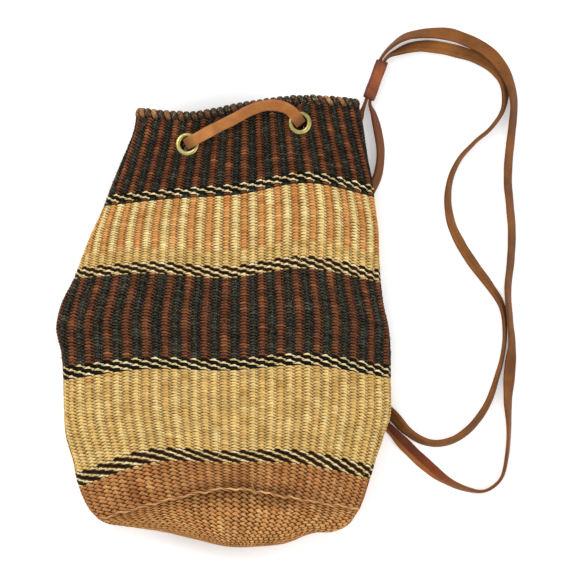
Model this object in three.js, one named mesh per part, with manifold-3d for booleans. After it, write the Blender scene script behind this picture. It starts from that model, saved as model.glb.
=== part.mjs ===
import * as THREE from 'three';
import { mergeVertices } from 'three/addons/utils/BufferGeometryUtils.js';
import Module from 'manifold-3d';

// A woven straw bucket backpack with a leather drawstring strap, lying on its back.
// Millimetres. +X to the right of the bag, +Y towards its mouth, +Z up from the floor.
// The origin is on the floor under the middle of the bag.

// Bag
const BODY_LENGTH = 382.5;
const BODY_WIDTH = 284;
const BODY_DEPTH = 54;
const WALL = 3;
const SEAT_GAP = 0.3;
// Rolled edge of the mouth
const RIM_TALL = 8.5;
const RIM_THICK = 6.4;
// Brass eyelets
const EYELET_BORE = 10.4;
const EYELET_WIDTH = 20.4;
const EYELET_TUBE = 0.7;
const EYELET_LIP = 1.3;
// Leather strap
const STRAP_WIDTH = 11;
const STRAP_THICK = 3;
const STRAP_UNIT = 0.85;
// Leather keeper round the two strands
const KEEPER_LENGTH = 35;
const KEEPER_WALL = 2;
const KEEPER_PINCH = 0.72;
// Leather tab that holds both ends of the strap under the bag
const TAB_LENGTH = 32;
const TAB_THICK = 3;
// Place of the tab and of the keeper's upper end and middle, in strap units across and down
const TAB_PLACE = [278, 415];
const KEEPER_PLACE = [[382.2, 61.8], [375.6, 80]];

// Facets
const COLUMNS = 52;
const WALL_ROWS = 20;
const BASE_ROWS = 6;

// Silhouette of the bag from above: share of the length down from the mouth,
// then the left and right edges as shares of the width from the middle.
const OUTLINE = [
  [0.0, -0.257, 0.392],
  [0.047, -0.26, 0.41],
  [0.089, -0.272, 0.419],
  [0.142, -0.302, 0.43],
  [0.196, -0.332, 0.443],
  [0.249, -0.359, 0.452],
  [0.302, -0.392, 0.461],
  [0.356, -0.422, 0.463],
  [0.409, -0.449, 0.467],
  [0.462, -0.485, 0.476],
  [0.516, -0.5, 0.492],
  [0.569, -0.485, 0.497],
  [0.622, -0.479, 0.497],
  [0.702, -0.476, 0.497],
  [0.756, -0.47, 0.476],
  [0.809, -0.449, 0.452],
  [0.862, -0.433, 0.43],
  [0.916, -0.401, 0.404],
  [0.942, -0.368, 0.38],
];

// Rows of weaving that the form is built on, one line each: share of the way down the warp;
// where the row crosses the left edge, the front at a quarter, a half and three quarters of its
// width, the right edge and the middle of the back, as shares of the length from the mouth;
// height of the front, of the side folds and of the back, as shares of the depth; squareness.
const RINGS = [
  [0.0, 0.047, 0.056, 0.035, 0.02, 0.026, 0.062, 0.815, 0.48, 0.222, 2.5],
  [0.211, 0.233, 0.218, 0.207, 0.182, 0.211, 0.213, 0.87, 0.444, 0.13, 2.5],
  [0.431, 0.393, 0.381, 0.391, 0.369, 0.4, 0.382, 0.85, 0.37, 0.0, 2.4],
  [0.553, 0.502, 0.489, 0.493, 0.478, 0.507, 0.462, 0.89, 0.352, 0.0, 2.4],
  [0.674, 0.616, 0.593, 0.596, 0.584, 0.613, 0.547, 0.926, 0.37, 0.0, 2.4],
  [0.8, 0.738, 0.698, 0.701, 0.696, 0.727, 0.649, 0.963, 0.426, 0.074, 2.4],
  [0.918, 0.853, 0.798, 0.8, 0.8, 0.836, 0.751, 1.0, 0.463, 0.074, 2.4],
  [1.0, 0.938, 0.896, 0.869, 0.89, 0.916, 0.822, 0.963, 0.444, 0.0, 2.3],
];
const ACROSS = [-1, -0.5, 0, 0.5, 1];

// Lower edge of the base from above: place between the two corners, -1 to 1, then the share
// of the length from the mouth.
const NOSE = [
  [-1, 0.938],
  [-0.93, 0.948],
  [-0.75, 0.956],
  [-0.5, 0.967],
  [-0.25, 0.984],
  [0, 1.0],
  [0.25, 0.999],
  [0.45, 0.991],
  [0.6, 0.973],
  [0.68, 0.968],
  [0.8, 0.966],
  [0.92, 0.949],
  [1, 0.916],
];

// Dents (positive) and swellings (negative) of the upper side: place across as a share of the
// width, down as a share of the length, reach across and down in the same shares, and depth
// as a share of the depth.
const DENTS = [
  [0.0, 0.915, 0.23, 0.03, 0.15],
  [0.02, 0.84, 0.24, 0.03, 0.07],
  [-0.452, 0.49, 0.022, 0.09, 0.1],
  [0.466, 0.56, 0.02, 0.1, 0.08],
  [0.06, 0.11, 0.2, 0.07, 0.08],
  [0.2, 0.72, 0.14, 0.1, -0.05],
  [-0.2, 0.3, 0.12, 0.12, -0.04],
];

// The middle rib of the front runs straight up the bag here, as a share of the width.
const RIB_LINE = 0.063;

const clamp = (value, low, high) => Math.min(high, Math.max(low, value));
const mix = (from, to, share) => from + (to - from) * share;

function smooth(value) {
  const share = clamp(value, 0, 1);
  return share * share * (3 - 2 * share);
}

// A smooth curve through the values of a table column, with the slope at each knot taken from
// its two neighbours.
function track(knots, values, place) {
  const last = knots.length - 1;
  let i = 0;
  while (i < last - 1 && place > knots[i + 1]) i += 1;
  const slope = (k) => {
    const low = Math.max(0, k - 1);
    const high = Math.min(last, k + 1);
    return (values[high] - values[low]) / (knots[high] - knots[low]);
  };
  const step = knots[i + 1] - knots[i];
  const share = clamp((place - knots[i]) / step, 0, 1);
  const square = share * share;
  const cube = square * share;
  return (
    values[i] * (2 * cube - 3 * square + 1)
    + slope(i) * step * (cube - 2 * square + share)
    + values[i + 1] * (3 * square - 2 * cube)
    + slope(i + 1) * step * (cube - square)
  );
}

const column = (table, index) => table.map((row) => row[index]);
const lengthwise = (share) => BODY_LENGTH * (0.5 - share);

// The row of weaving at a share of the way down the warp.
function ringAt(warp) {
  const read = (index) => track(column(RINGS, 0), column(RINGS, index), warp);
  const downs = [1, 2, 3, 4, 5].map(read);
  const edge = (index, down) => BODY_WIDTH * track(column(OUTLINE, 0), column(OUTLINE, index), down);
  const left = edge(1, downs[0]);
  const right = edge(2, downs[4]);
  return {
    downs,
    back: read(6),
    middle: (left + right) / 2,
    half: (right - left) / 2,
    crown: BODY_DEPTH * read(7),
    fold: BODY_DEPTH * read(8),
    belly: BODY_DEPTH * Math.max(0, read(9)),
    square: read(10),
  };
}

function dented(x, y, z, ring) {
  let depth = 0;
  for (const [across, down, reachX, reachY, share] of DENTS) {
    const dx = (x - BODY_WIDTH * across) / (BODY_WIDTH * reachX);
    const dy = (y - lengthwise(down)) / (BODY_LENGTH * reachY);
    depth += BODY_DEPTH * share * Math.exp(-dx * dx - dy * dy);
  }
  return z - depth * smooth((1.6 * (z - ring.fold)) / (ring.crown - ring.fold));
}

// The front and the back of a row, at a place across it from -1 at the left fold to 1 at the right.
function frontOf(ring, across) {
  const along = Math.abs(across) ** (ring.square / 2);
  const up = Math.sqrt(Math.max(0, 1 - along * along));
  const x = ring.middle + across * ring.half;
  const y = lengthwise(track(ACROSS, ring.downs, across));
  const z = mix(ring.fold, ring.crown, up ** (2 / ring.square));
  return [x, y, dented(x, y, z, ring)];
}

function backOf(ring, across) {
  const along = Math.abs(across) ** (ring.square / 2);
  const down = Math.sqrt(Math.max(0, 1 - along * along));
  const [left, , , , right] = ring.downs;
  const x = ring.middle + across * ring.half;
  const level = mix(left, right, (across + 1) / 2);
  const y = lengthwise(level + (ring.back - (left + right) / 2) * (1 - across * across));
  const z = mix(ring.fold, ring.belly, Math.min(1, 1.06 * down ** (2 / 3)));
  return [x, y, z];
}

// Places of the ribs round a row, evenly spaced along it from the middle rib of the front.
// Each is a place across and a side, 1 for the front and -1 for the back.
function ribsOf(ring, count) {
  const fine = 240;
  const spots = [];
  for (let i = 0; i <= fine; i += 1) {
    const angle = (i / fine) * 2 * Math.PI;
    const cosine = Math.cos(angle);
    const across = clamp(Math.sign(cosine) * Math.abs(cosine) ** (2 / ring.square), -1, 1);
    const side = i < fine / 2 ? 1 : -1;
    spots.push({ angle, point: side > 0 ? frontOf(ring, across) : backOf(ring, across) });
  }
  const reach = [0];
  for (let i = 1; i <= fine; i += 1) {
    const [a, b] = [spots[i - 1].point, spots[i].point];
    reach.push(reach[i - 1] + Math.hypot(b[0] - a[0], b[1] - a[1], b[2] - a[2]));
  }
  const total = reach[fine];
  let start = 0;
  while (spots[start + 1].point[0] > BODY_WIDTH * RIB_LINE) start += 1;
  const share = (spots[start].point[0] - BODY_WIDTH * RIB_LINE)
    / (spots[start].point[0] - spots[start + 1].point[0]);
  const origin = mix(reach[start], reach[start + 1], share);
  const ribs = [];
  for (let k = 0; k < count; k += 1) {
    const goal = (((origin + (k / count - 0.25) * total) % total) + total) % total;
    let i = 0;
    while (i < fine - 1 && reach[i + 1] < goal) i += 1;
    const angle = mix(spots[i].angle, spots[i + 1].angle, (goal - reach[i]) / (reach[i + 1] - reach[i]));
    const cosine = Math.cos(angle);
    const across = clamp(Math.sign(cosine) * Math.abs(cosine) ** (2 / ring.square), -1, 1);
    ribs.push({ across, side: angle < Math.PI ? 1 : -1 });
  }
  return ribs;
}

const bezier = (a, b, c, d, t) => (
  a * (1 - t) ** 3 + 3 * b * t * (1 - t) ** 2 + 3 * c * t * t * (1 - t) + d * t ** 3
);

// The round base, folded over the lower edge of the bag: reach is 1 at its rim, 0 at its centre.
function baseOf(foot, rib, reach) {
  const across = rib.across * (1 - (1 - reach) ** 3);
  const rise = rib.side * Math.sqrt(Math.max(0, 1 - rib.across ** 2)) * reach;
  const half = Math.sqrt(Math.max(1e-9, 1 - across * across));
  const turn = clamp(rise / half, -1, 1);
  const x = foot.middle + across * foot.half;
  const edgeY = lengthwise(track(column(NOSE, 0), column(NOSE, 1), across));
  if (turn >= 0) {
    const [, y, z] = frontOf(foot, across);
    const lift = z - foot.fold;
    const py = bezier(edgeY, edgeY, mix(y, edgeY, 0.45), y, turn);
    const pz = bezier(foot.fold, foot.fold + 0.75 * lift, z - 0.02 * lift, z, turn);
    return [x, py, dented(x, py, pz, foot)];
  }
  const [, y, z] = backOf(foot, across);
  const drop = foot.fold - z;
  const py = bezier(edgeY, edgeY, mix(y, edgeY, 0.55), y, -turn);
  const pz = bezier(foot.fold, z - 0.08 * drop, z - 0.08 * drop, z, -turn);
  return [x, py, Math.max(z, pz)];
}

function geometryOf(positions, faces) {
  const geometry = new THREE.BufferGeometry();
  geometry.setAttribute('position', new THREE.Float32BufferAttribute(positions.flat(), 3));
  geometry.setIndex(faces.flat());
  geometry.computeVertexNormals();
  return geometry;
}

const vector = (p) => new THREE.Vector3(p[0], p[1], p[2]);

// The woven wall: an outer and an inner skin, joined round the mouth.
function wovenSkin() {
  const rows = [];
  for (let j = 0; j <= WALL_ROWS; j += 1) {
    const ring = ringAt(j / WALL_ROWS);
    rows.push(ribsOf(ring, COLUMNS).map((rib) => (
      rib.side > 0 ? frontOf(ring, rib.across) : backOf(ring, rib.across)
    )));
  }
  const foot = ringAt(1);
  const feet = ribsOf(foot, COLUMNS);
  for (let k = 1; k < BASE_ROWS; k += 1) {
    rows.push(feet.map((rib) => baseOf(foot, rib, 1 - k / BASE_ROWS)));
  }
  const outer = rows.flat();
  const centre = outer.length;
  outer.push(baseOf(foot, { across: 0, side: 1 }, 0));
  const faces = [];
  const at = (j, i) => j * COLUMNS + (i % COLUMNS);
  for (let j = 0; j < rows.length - 1; j += 1) {
    for (let i = 0; i < COLUMNS; i += 1) {
      faces.push([at(j, i), at(j, i + 1), at(j + 1, i + 1)]);
      faces.push([at(j, i), at(j + 1, i + 1), at(j + 1, i)]);
    }
  }
  for (let i = 0; i < COLUMNS; i += 1) {
    faces.push([at(rows.length - 1, i), at(rows.length - 1, i + 1), centre]);
  }
  const skin = geometryOf(outer, faces);
  const normals = skin.getAttribute('normal');
  const inner = outer.map((p, i) => [
    p[0] - WALL * normals.getX(i),
    p[1] - WALL * normals.getY(i),
    p[2] - WALL * normals.getZ(i),
  ]);
  const shift = outer.length;
  const lining = faces.map(([a, b, c]) => [a + shift, c + shift, b + shift]);
  const mouth = [];
  for (let i = 0; i < COLUMNS; i += 1) {
    const next = (i + 1) % COLUMNS;
    mouth.push([i, shift + i, shift + next]);
    mouth.push([i, shift + next, next]);
  }
  const edge = outer.slice(0, COLUMNS).map((p, i) => ({
    middle: vector(p).add(vector(inner[i])).multiplyScalar(0.5),
    outward: vector(p).sub(vector(inner[i])).normalize(),
    up: vector(p).sub(vector(outer[COLUMNS + i])).normalize(),
  }));
  return { geometry: geometryOf([...outer, ...inner], [...faces, ...lining, ...mouth]), edge };
}

// A closed tube through a ring of stations, or a capped one through a line of them. Each
// station has a centre and two section axes, and the section is a list of [first, second].
function sweep(stations, section, closed) {
  const points = stations.flatMap(({ centre, first, second, pinch = 1 }) => section.map(([a, b]) => (
    centre.clone().addScaledVector(first, a * pinch).addScaledVector(second, b).toArray()
  )));
  const count = section.length;
  const faces = [];
  const spans = closed ? stations.length : stations.length - 1;
  for (let j = 0; j < spans; j += 1) {
    const next = (j + 1) % stations.length;
    for (let i = 0; i < count; i += 1) {
      const right = (i + 1) % count;
      faces.push([j * count + i, j * count + right, next * count + right]);
      faces.push([j * count + i, next * count + right, next * count + i]);
    }
  }
  if (!closed) {
    const last = (stations.length - 1) * count;
    for (let i = 1; i < count - 1; i += 1) {
      faces.push([0, i + 1, i]);
      faces.push([last, last + i, last + i + 1]);
    }
  }
  return geometryOf(points, faces);
}

const wasm = await Module();
wasm.setup();

function solidOf(geometry) {
  const bare = geometry.clone();
  bare.deleteAttribute('normal');
  bare.deleteAttribute('uv');
  const merged = mergeVertices(bare, 1e-4);
  const index = merged.getIndex().array;
  const triangles = [];
  for (let i = 0; i < index.length; i += 3) {
    const [a, b, c] = [index[i], index[i + 1], index[i + 2]];
    if (a !== b && b !== c && a !== c) triangles.push(a, b, c);
  }
  return new wasm.Manifold(new wasm.Mesh({
    numProp: 3,
    vertProperties: new Float32Array(merged.getAttribute('position').array),
    triVerts: new Uint32Array(triangles),
  }));
}

function geometryFrom(solid) {
  const mesh = solid.getMesh();
  const geometry = new THREE.BufferGeometry();
  geometry.setAttribute('position', new THREE.BufferAttribute(new Float32Array(mesh.vertProperties), 3));
  geometry.setIndex(new THREE.BufferAttribute(new Uint32Array(mesh.triVerts), 1));
  geometry.computeVertexNormals();
  return geometry;
}

// Turns the faces of a closed geometry outwards if they all point inwards.
function facingOut(geometry) {
  const index = geometry.getIndex().array;
  const position = geometry.getAttribute('position');
  let volume = 0;
  for (let i = 0; i < index.length; i += 3) {
    const [a, b, c] = [0, 1, 2].map((k) => new THREE.Vector3().fromBufferAttribute(position, index[i + k]));
    volume += a.dot(b.cross(c));
  }
  if (volume < 0) {
    for (let i = 0; i < index.length; i += 3) {
      const keep = index[i];
      index[i] = index[i + 1];
      index[i + 1] = keep;
    }
    geometry.computeVertexNormals();
  }
  return geometry;
}

// Eyelets: share of the width across and share of the length down, for the front and the back.
const EYELETS = {
  eyelet_front_left: [-0.108, 0.109, 1],
  eyelet_front_right: [0.2275, 0.062, 1],
  eyelet_back_left: [-0.102, 0.122, -1],
  eyelet_back_right: [0.2275, 0.089, -1],
};

// The place on the front or the back at a given spot seen from above, with its outward normal.
function placeOn(x, y, side) {
  const spot = (warp, dx) => {
    const ring = ringAt(warp);
    const across = clamp((x + dx - ring.middle) / ring.half, -1, 1);
    return vector(side > 0 ? frontOf(ring, across) : backOf(ring, across));
  };
  let low = 0;
  let high = 1;
  for (let i = 0; i < 40; i += 1) {
    const warp = (low + high) / 2;
    if (spot(warp, 0).y > y) low = warp;
    else high = warp;
  }
  const warp = (low + high) / 2;
  const point = spot(warp, 0);
  const alongX = spot(warp, 5).sub(spot(warp, -5));
  const alongY = spot(Math.max(0, warp - 0.02), 0).sub(spot(warp + 0.02, 0));
  const normal = alongX.cross(alongY).normalize();
  return { point, normal: normal.z * side > 0 ? normal : normal.negate() };
}

const { geometry: skin, edge } = wovenSkin();
const boreRadius = EYELET_BORE / 2;
const tubeRadius = boreRadius + EYELET_TUBE;
const halfWall = WALL / 2;
const lipBase = halfWall + SEAT_GAP;
const lipRadius = EYELET_WIDTH / 2;
const washerRadius = lipRadius - 1.4;

// Section of an eyelet round its axis: radius, height above the middle of the wall.
const eyeletSection = [
  [boreRadius, -lipBase - EYELET_LIP * 0.8],
  [washerRadius, -lipBase - EYELET_LIP * 0.8],
  [washerRadius, -lipBase],
  [tubeRadius, -lipBase],
  [tubeRadius, lipBase],
  [lipRadius, lipBase],
  [lipRadius, lipBase + EYELET_LIP * 0.3],
  [lipRadius - 1.4, lipBase + EYELET_LIP],
  [boreRadius + 1, lipBase + EYELET_LIP],
  [boreRadius, lipBase + EYELET_LIP * 0.5],
  [boreRadius, -lipBase - EYELET_LIP * 0.8],
].map(([radius, height]) => new THREE.Vector2(radius, height));

// Room that an eyelet needs in the wall.
const room = 8;
const cutSection = [
  [0, -room],
  [washerRadius + SEAT_GAP, -room],
  [washerRadius + SEAT_GAP, -halfWall],
  [tubeRadius + SEAT_GAP, -halfWall],
  [tubeRadius + SEAT_GAP, halfWall],
  [lipRadius + SEAT_GAP, halfWall],
  [lipRadius + SEAT_GAP, room],
  [0, room],
].map(([radius, height]) => new THREE.Vector2(radius, height));

const eyelets = {};
let body = solidOf(facingOut(skin));
for (const [name, [across, down, side]] of Object.entries(EYELETS)) {
  const { point, normal } = placeOn(BODY_WIDTH * across, lengthwise(down), side);
  const centre = point.clone().addScaledVector(normal, -halfWall);
  const turn = new THREE.Quaternion().setFromUnitVectors(new THREE.Vector3(0, 1, 0), normal);
  const placing = new THREE.Matrix4().compose(centre, turn, new THREE.Vector3(1, 1, 1));
  eyelets[name] = { centre, normal, turn };
  body = body.subtract(solidOf(facingOut(mergeVertices(new THREE.LatheGeometry(cutSection, 20).applyMatrix4(placing)))));
}

// Rolled edge of the mouth, standing on the top of the wall.
const round = (count, first, second) => Array.from({ length: count }, (_, i) => {
  const angle = (2 * Math.PI * (i + 0.5)) / count;
  return [first * Math.cos(angle), second * Math.sin(angle)];
});
const rimStations = edge.map(({ middle, outward, up }) => ({
  centre: middle.clone().addScaledVector(up, RIM_TALL / 2 + SEAT_GAP),
  first: outward,
  second: up,
}));
const rimSection = round(8, RIM_THICK / 2 / Math.cos(Math.PI / 8), RIM_TALL / 2 / Math.cos(Math.PI / 8));

// Route of the strap in strap units, counted across and down from the upper left of the
// laid-out backpack; then the height of its underside in mm, the lean of its width from flat
// in degrees (positive to the left of travel), and its width as a share of the full width.
const LAY_MIDDLE = [224, 321];
const OUTER_STRAND = [
  [300, 422, 0.2, 0, 1],
  [330, 422, 0.2, 0, 1],
  [358, 420, 0.2, 0, 1],
  [375, 418, 0.2, 12, 0.95],
  [388, 427, 0.2, 52, 0.95],
  [405, 445, 0.2, 22, 1],
  [425, 464, 0.1, 14, 1],
  [446, 480, 0.1, 58, 1],
  [466, 489, 0.1, 76, 1],
  [485, 491, 0.1, 88, 1],
  [501, 479, 0.1, 86, 1],
  [507, 456, 0.1, 82, 1],
  [509, 429, 0.1, 78, 1],
  [508, 401, 0.1, 58, 1],
  [510, 370, 0.1, 34, 1],
  [512, 344, 0.1, 62, 1],
  [510, 318, 0.1, 70, 1],
  [508, 290, 0.1, 66, 1],
  [511, 259, 0.1, 62, 1],
  [512, 231, 0.1, 60, 1],
  [510, 205, 0.1, 60, 1],
  [508, 181, 0.1, 58, 1],
  [509, 157, 0.1, 57, 1],
  [512, 130, 0.1, 60, 1],
  [514, 104, 0.6, 62, 1],
  [510, 83, 2.4, 52, 1],
  [500, 64, 4.2, 30, 1],
  [486, 50, 4.6, 22, 1],
  [467, 40, 3.4, 18, 1],
  [449, 34, 1.2, 20, 1],
  [429, 33, 0.2, 45, 1],
  [408, 36, 0.4, 62, 1],
  [394, 44, 1.6, 76, 0.9],
];
const OUTER_TAIL = [
  [362.5, 110, 1.2, 100, 0.8],
  [357, 120, 0.3, 140, 0.9],
  [343, 124, 0.2, 180, 1],
  [322, 127, 0.2, 180, 0.9],
];
const INNER_TAIL = [
  [212, 156, 0.2, 0, 0.9],
  [240, 168, 0.2, 0, 1],
  [275, 184, 0.2, 0, 1],
  [310, 196, 0.2, 0, 1],
  [340, 202, 0.2, 4, 1],
  [361, 199, 0.1, 30, 1],
  [373, 186, 0.1, 50, 1],
  [379, 170, 0.1, 58, 1],
  [380.5, 149, 0.1, 60, 1],
  [378, 132, 0.1, 64, 1],
  [374, 115, 0.6, 80, 0.9],
];
const INNER_STRAND = [
  [401, 50.5, 0.6, 122, 0.95],
  [419, 46, 0.1, 142, 1],
  [438, 47, 0.1, 158, 1],
  [457, 51, 0.1, 160, 1],
  [476, 57, 0.1, 150, 1],
  [493, 66.5, 0.1, 158, 1],
  [503, 79, 0.1, 140, 1],
  [505.5, 94, 0.1, 116, 1],
  [502.5, 111, 0.1, 100, 1],
  [491, 128, 0.1, 96, 1],
  [475, 142, 0.1, 96, 1],
  [459, 160, 0.1, 102, 1],
  [450, 181, 0.1, 108, 1],
  [448, 203, 0.1, 116, 1],
  [452, 225, 0.1, 124, 1],
  [462, 246, 0.1, 132, 1],
  [475, 266, 0.1, 132, 1],
  [490, 286, 0.1, 122, 1],
  [502, 306, 0.1, 112, 1],
  [505, 329, 0.1, 102, 1],
  [503, 354, 0.1, 100, 1],
  [496.5, 379, 0.1, 106, 1],
  [488, 403, 0.1, 112, 1],
  [474, 424, 0.1, 116, 1],
  [457, 438, 0.1, 116, 1],
  [438, 443.5, 0.1, 114, 1],
  [421, 440, 0.6, 118, 1],
  [406, 430, 2.4, 128, 1],
  [392, 415, 3.5, 152, 1],
  [377, 405, 2.0, 180, 0.95],
  [358, 404, 0.2, 180, 1],
  [330, 407, 0.2, 180, 1],
  [300, 408, 0.2, 180, 1],
];

const laid = (across, down) => [
  STRAP_UNIT * (across - LAY_MIDDLE[0]),
  STRAP_UNIT * (LAY_MIDDLE[1] - down),
];

// A lying stretch: the centre stands at half the leaning section above its underside.
function lyingStations(rows) {
  return rows.map(([across, down, under, lean, pinch]) => {
    const angle = (lean * Math.PI) / 180;
    const tall = STRAP_WIDTH * pinch * Math.abs(Math.sin(angle)) + STRAP_THICK * Math.abs(Math.cos(angle));
    const [x, y] = laid(across, down);
    return { centre: new THREE.Vector3(x, y, under + tall / 2), angle, pinch };
  });
}

// Through a back eyelet, across the mouth and out of the front eyelet above it. The width of
// the strap lies along the warp at the back, and square to the stretch it goes on to at the front.
const alongWarp = new THREE.Vector3(0, 1, 0);
function mouthStations(back, front, sideways, toward) {
  const onward = vector([...laid(toward[0], toward[1]), 0]).sub(front.centre);
  const square = new THREE.Vector3(-onward.y, onward.x, 0).normalize();
  if (square.dot(alongWarp) < 0) square.negate();
  const point = (eyelet, out, dx) => (
    eyelet.centre.clone().addScaledVector(eyelet.normal, out).add(new THREE.Vector3(dx * sideways, 0, 0))
  );
  return [
    { centre: new THREE.Vector3(back.centre.x + 7 * sideways, back.centre.y, STRAP_THICK / 2 + 0.9), pinch: 0.8 },
    { centre: point(back, 4.6, 1.6), pinch: 0.78 },
    { centre: point(back, 0, 0), pinch: 0.8 },
    { centre: point(back, -6, 0), pinch: 0.8 },
    { centre: point(front, -6, 0), pinch: 0.8, across: square },
    { centre: point(front, 0, 0), pinch: 0.82, across: square },
    { centre: point(front, 4.8, 0).addScaledVector(onward.normalize(), 1), pinch: 0.84, across: square },
  ].map((station) => ({ across: alongWarp, ...station }));
}

// The stretch across the front between the two front eyelets, right to left: strap units
// across and down, height of the centre and lean.
const BRIDGE = [
  [291, 112.5, 52.0, 24],
  [280, 107.5, 54.5, 28],
  [266, 107, 54.0, 32],
  [250, 112, 52.5, 32],
  [234, 120.5, 51.5, 30],
  [217, 129, 51.0, 26],
  [202, 137, 50.0, 20],
];
const bridgeStations = BRIDGE.map(([across, down, height, lean]) => {
  const [x, y] = laid(across, down);
  return { centre: new THREE.Vector3(x, y, height), angle: (-lean * Math.PI) / 180, pinch: 0.9 };
});

// Inside the keeper both strands stand on edge, side by side.
const UP = new THREE.Vector3(0, 0, 1);
const keeperMiddle = vector([...laid(...KEEPER_PLACE[1]), 0]);
const keeperAxis = vector([...laid(...KEEPER_PLACE[0]), 0]).sub(keeperMiddle).normalize();
const keeperRight = new THREE.Vector3().crossVectors(keeperAxis, UP);
const clearWidth = 2 * STRAP_THICK + 4 * SEAT_GAP;
const clearHeight = STRAP_WIDTH * KEEPER_PINCH + 2 * SEAT_GAP;
const keeperStation = (lane, along) => ({
  centre: keeperMiddle.clone()
    .addScaledVector(keeperRight, lane * (STRAP_THICK / 2 + SEAT_GAP))
    .addScaledVector(keeperAxis, along * (KEEPER_LENGTH / 2 + 1.5))
    .addScaledVector(UP, KEEPER_WALL + clearHeight / 2),
  across: UP,
  pinch: KEEPER_PINCH,
});

const tabEnd = laid(...TAB_PLACE)[0];
const endStation = (row) => {
  const [station] = lyingStations([row]);
  station.centre.x = tabEnd + SEAT_GAP;
  return station;
};
const rightPass = mouthStations(eyelets.eyelet_back_right, eyelets.eyelet_front_right, 1, BRIDGE.at(0));
const leftPass = mouthStations(eyelets.eyelet_back_left, eyelets.eyelet_front_left, 1, BRIDGE.at(-1));
const route = [
  endStation([TAB_PLACE[0], 422, 0.2, 0, 1]),
  ...lyingStations(OUTER_STRAND),
  keeperStation(-1, 1),
  keeperStation(-1, -1),
  ...lyingStations(OUTER_TAIL),
  ...rightPass,
  ...bridgeStations,
  ...leftPass.reverse(),
  ...lyingStations(INNER_TAIL),
  keeperStation(1, -1),
  keeperStation(1, 1),
  ...lyingStations(INNER_STRAND),
  endStation([TAB_PLACE[0], 408, 0.2, 180, 1]),
];

// Section axes along the route: the width leans from the level line across the direction of
// travel, and keeps its sense from one station to the next.
let before = null;
const strapStations = route.map(({ centre, angle, across, pinch }, i) => {
  const ahead = route[Math.min(route.length - 1, i + 1)].centre;
  const behind = route[Math.max(0, i - 1)].centre;
  const travel = ahead.clone().sub(behind).normalize();
  let first;
  if (across) {
    first = across.clone();
  } else {
    const level = new THREE.Vector3(-travel.y, travel.x, 0).normalize();
    const raised = UP.clone().addScaledVector(travel, -travel.z).normalize();
    first = level.multiplyScalar(Math.cos(angle)).addScaledVector(raised, Math.sin(angle));
  }
  first.addScaledVector(travel, -first.dot(travel)).normalize();
  if (before && before.dot(first) < 0) first.negate();
  before = first.clone();
  return { centre, first, second: travel.clone().cross(first), pinch };
});
const halfWidth = STRAP_WIDTH / 2;
const halfThick = STRAP_THICK / 2;
const strapSection = [
  [halfWidth, -0.5 * halfThick],
  [halfWidth, 0.5 * halfThick],
  [halfWidth - 0.6 * halfThick, halfThick],
  [-halfWidth + 0.6 * halfThick, halfThick],
  [-halfWidth, 0.5 * halfThick],
  [-halfWidth, -0.5 * halfThick],
  [-halfWidth + 0.6 * halfThick, -halfThick],
  [halfWidth - 0.6 * halfThick, -halfThick],
];

// Rounded rectangle about the origin.
function roundedBox(target, width, height, radius) {
  const [x, y] = [width / 2, height / 2];
  target.moveTo(-x + radius, -y);
  target.lineTo(x - radius, -y);
  target.absarc(x - radius, -y + radius, radius, -Math.PI / 2, 0, false);
  target.lineTo(x, y - radius);
  target.absarc(x - radius, y - radius, radius, 0, Math.PI / 2, false);
  target.lineTo(-x + radius, y);
  target.absarc(-x + radius, y - radius, radius, Math.PI / 2, Math.PI, false);
  target.lineTo(-x, -y + radius);
  target.absarc(-x + radius, -y + radius, radius, Math.PI, 1.5 * Math.PI, false);
  return target;
}

// The keeper stands round both strands.
const keeperShape = roundedBox(
  new THREE.Shape(), clearWidth + 2 * KEEPER_WALL, clearHeight + 2 * KEEPER_WALL, 3.2,
);
keeperShape.holes.push(roundedBox(new THREE.Path(), clearWidth, clearHeight, 0.9));
const keeperForm = new THREE.ExtrudeGeometry(keeperShape, {
  depth: KEEPER_LENGTH, steps: 1, bevelEnabled: false, curveSegments: 4,
});
keeperForm.translate(0, clearHeight / 2 + KEEPER_WALL, -KEEPER_LENGTH / 2);
const keeperTurn = new THREE.Matrix4().makeBasis(
  keeperRight.clone().negate(), UP, keeperAxis,
);
keeperForm.applyMatrix4(keeperTurn);

// The tab under the bag: both strap ends stop at its right edge.
const tabTop = Math.min(...[0.8, 0.86, 0.918].map((warp) => backOf(ringAt(warp), 0).at(2))) - SEAT_GAP;
const tabWide = 2 * STRAP_WIDTH + 4;
const tabForm = new THREE.ExtrudeGeometry(roundedBox(new THREE.Shape(), TAB_LENGTH, tabWide, 3), {
  depth: TAB_THICK, steps: 1, bevelEnabled: false, curveSegments: 3,
});

const STRAW = new THREE.MeshStandardMaterial({ color: 0xd9b36c, roughness: 0.85, metalness: 0 });
const RIM = new THREE.MeshStandardMaterial({ color: 0x8a5a34, roughness: 0.85, metalness: 0 });
const BRASS = new THREE.MeshStandardMaterial({ color: 0xb8a255, roughness: 0.35, metalness: 0.9 });
const LEATHER = new THREE.MeshStandardMaterial({ color: 0x8c5a30, roughness: 0.6, metalness: 0 });
const KEEPER_LEATHER = new THREE.MeshStandardMaterial({ color: 0xaf5028, roughness: 0.55, metalness: 0 });

const group = new THREE.Group();
function add(name, geometry, material) {
  const mesh = new THREE.Mesh(geometry, material);
  mesh.name = name;
  group.add(mesh);
  return mesh;
}

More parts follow.
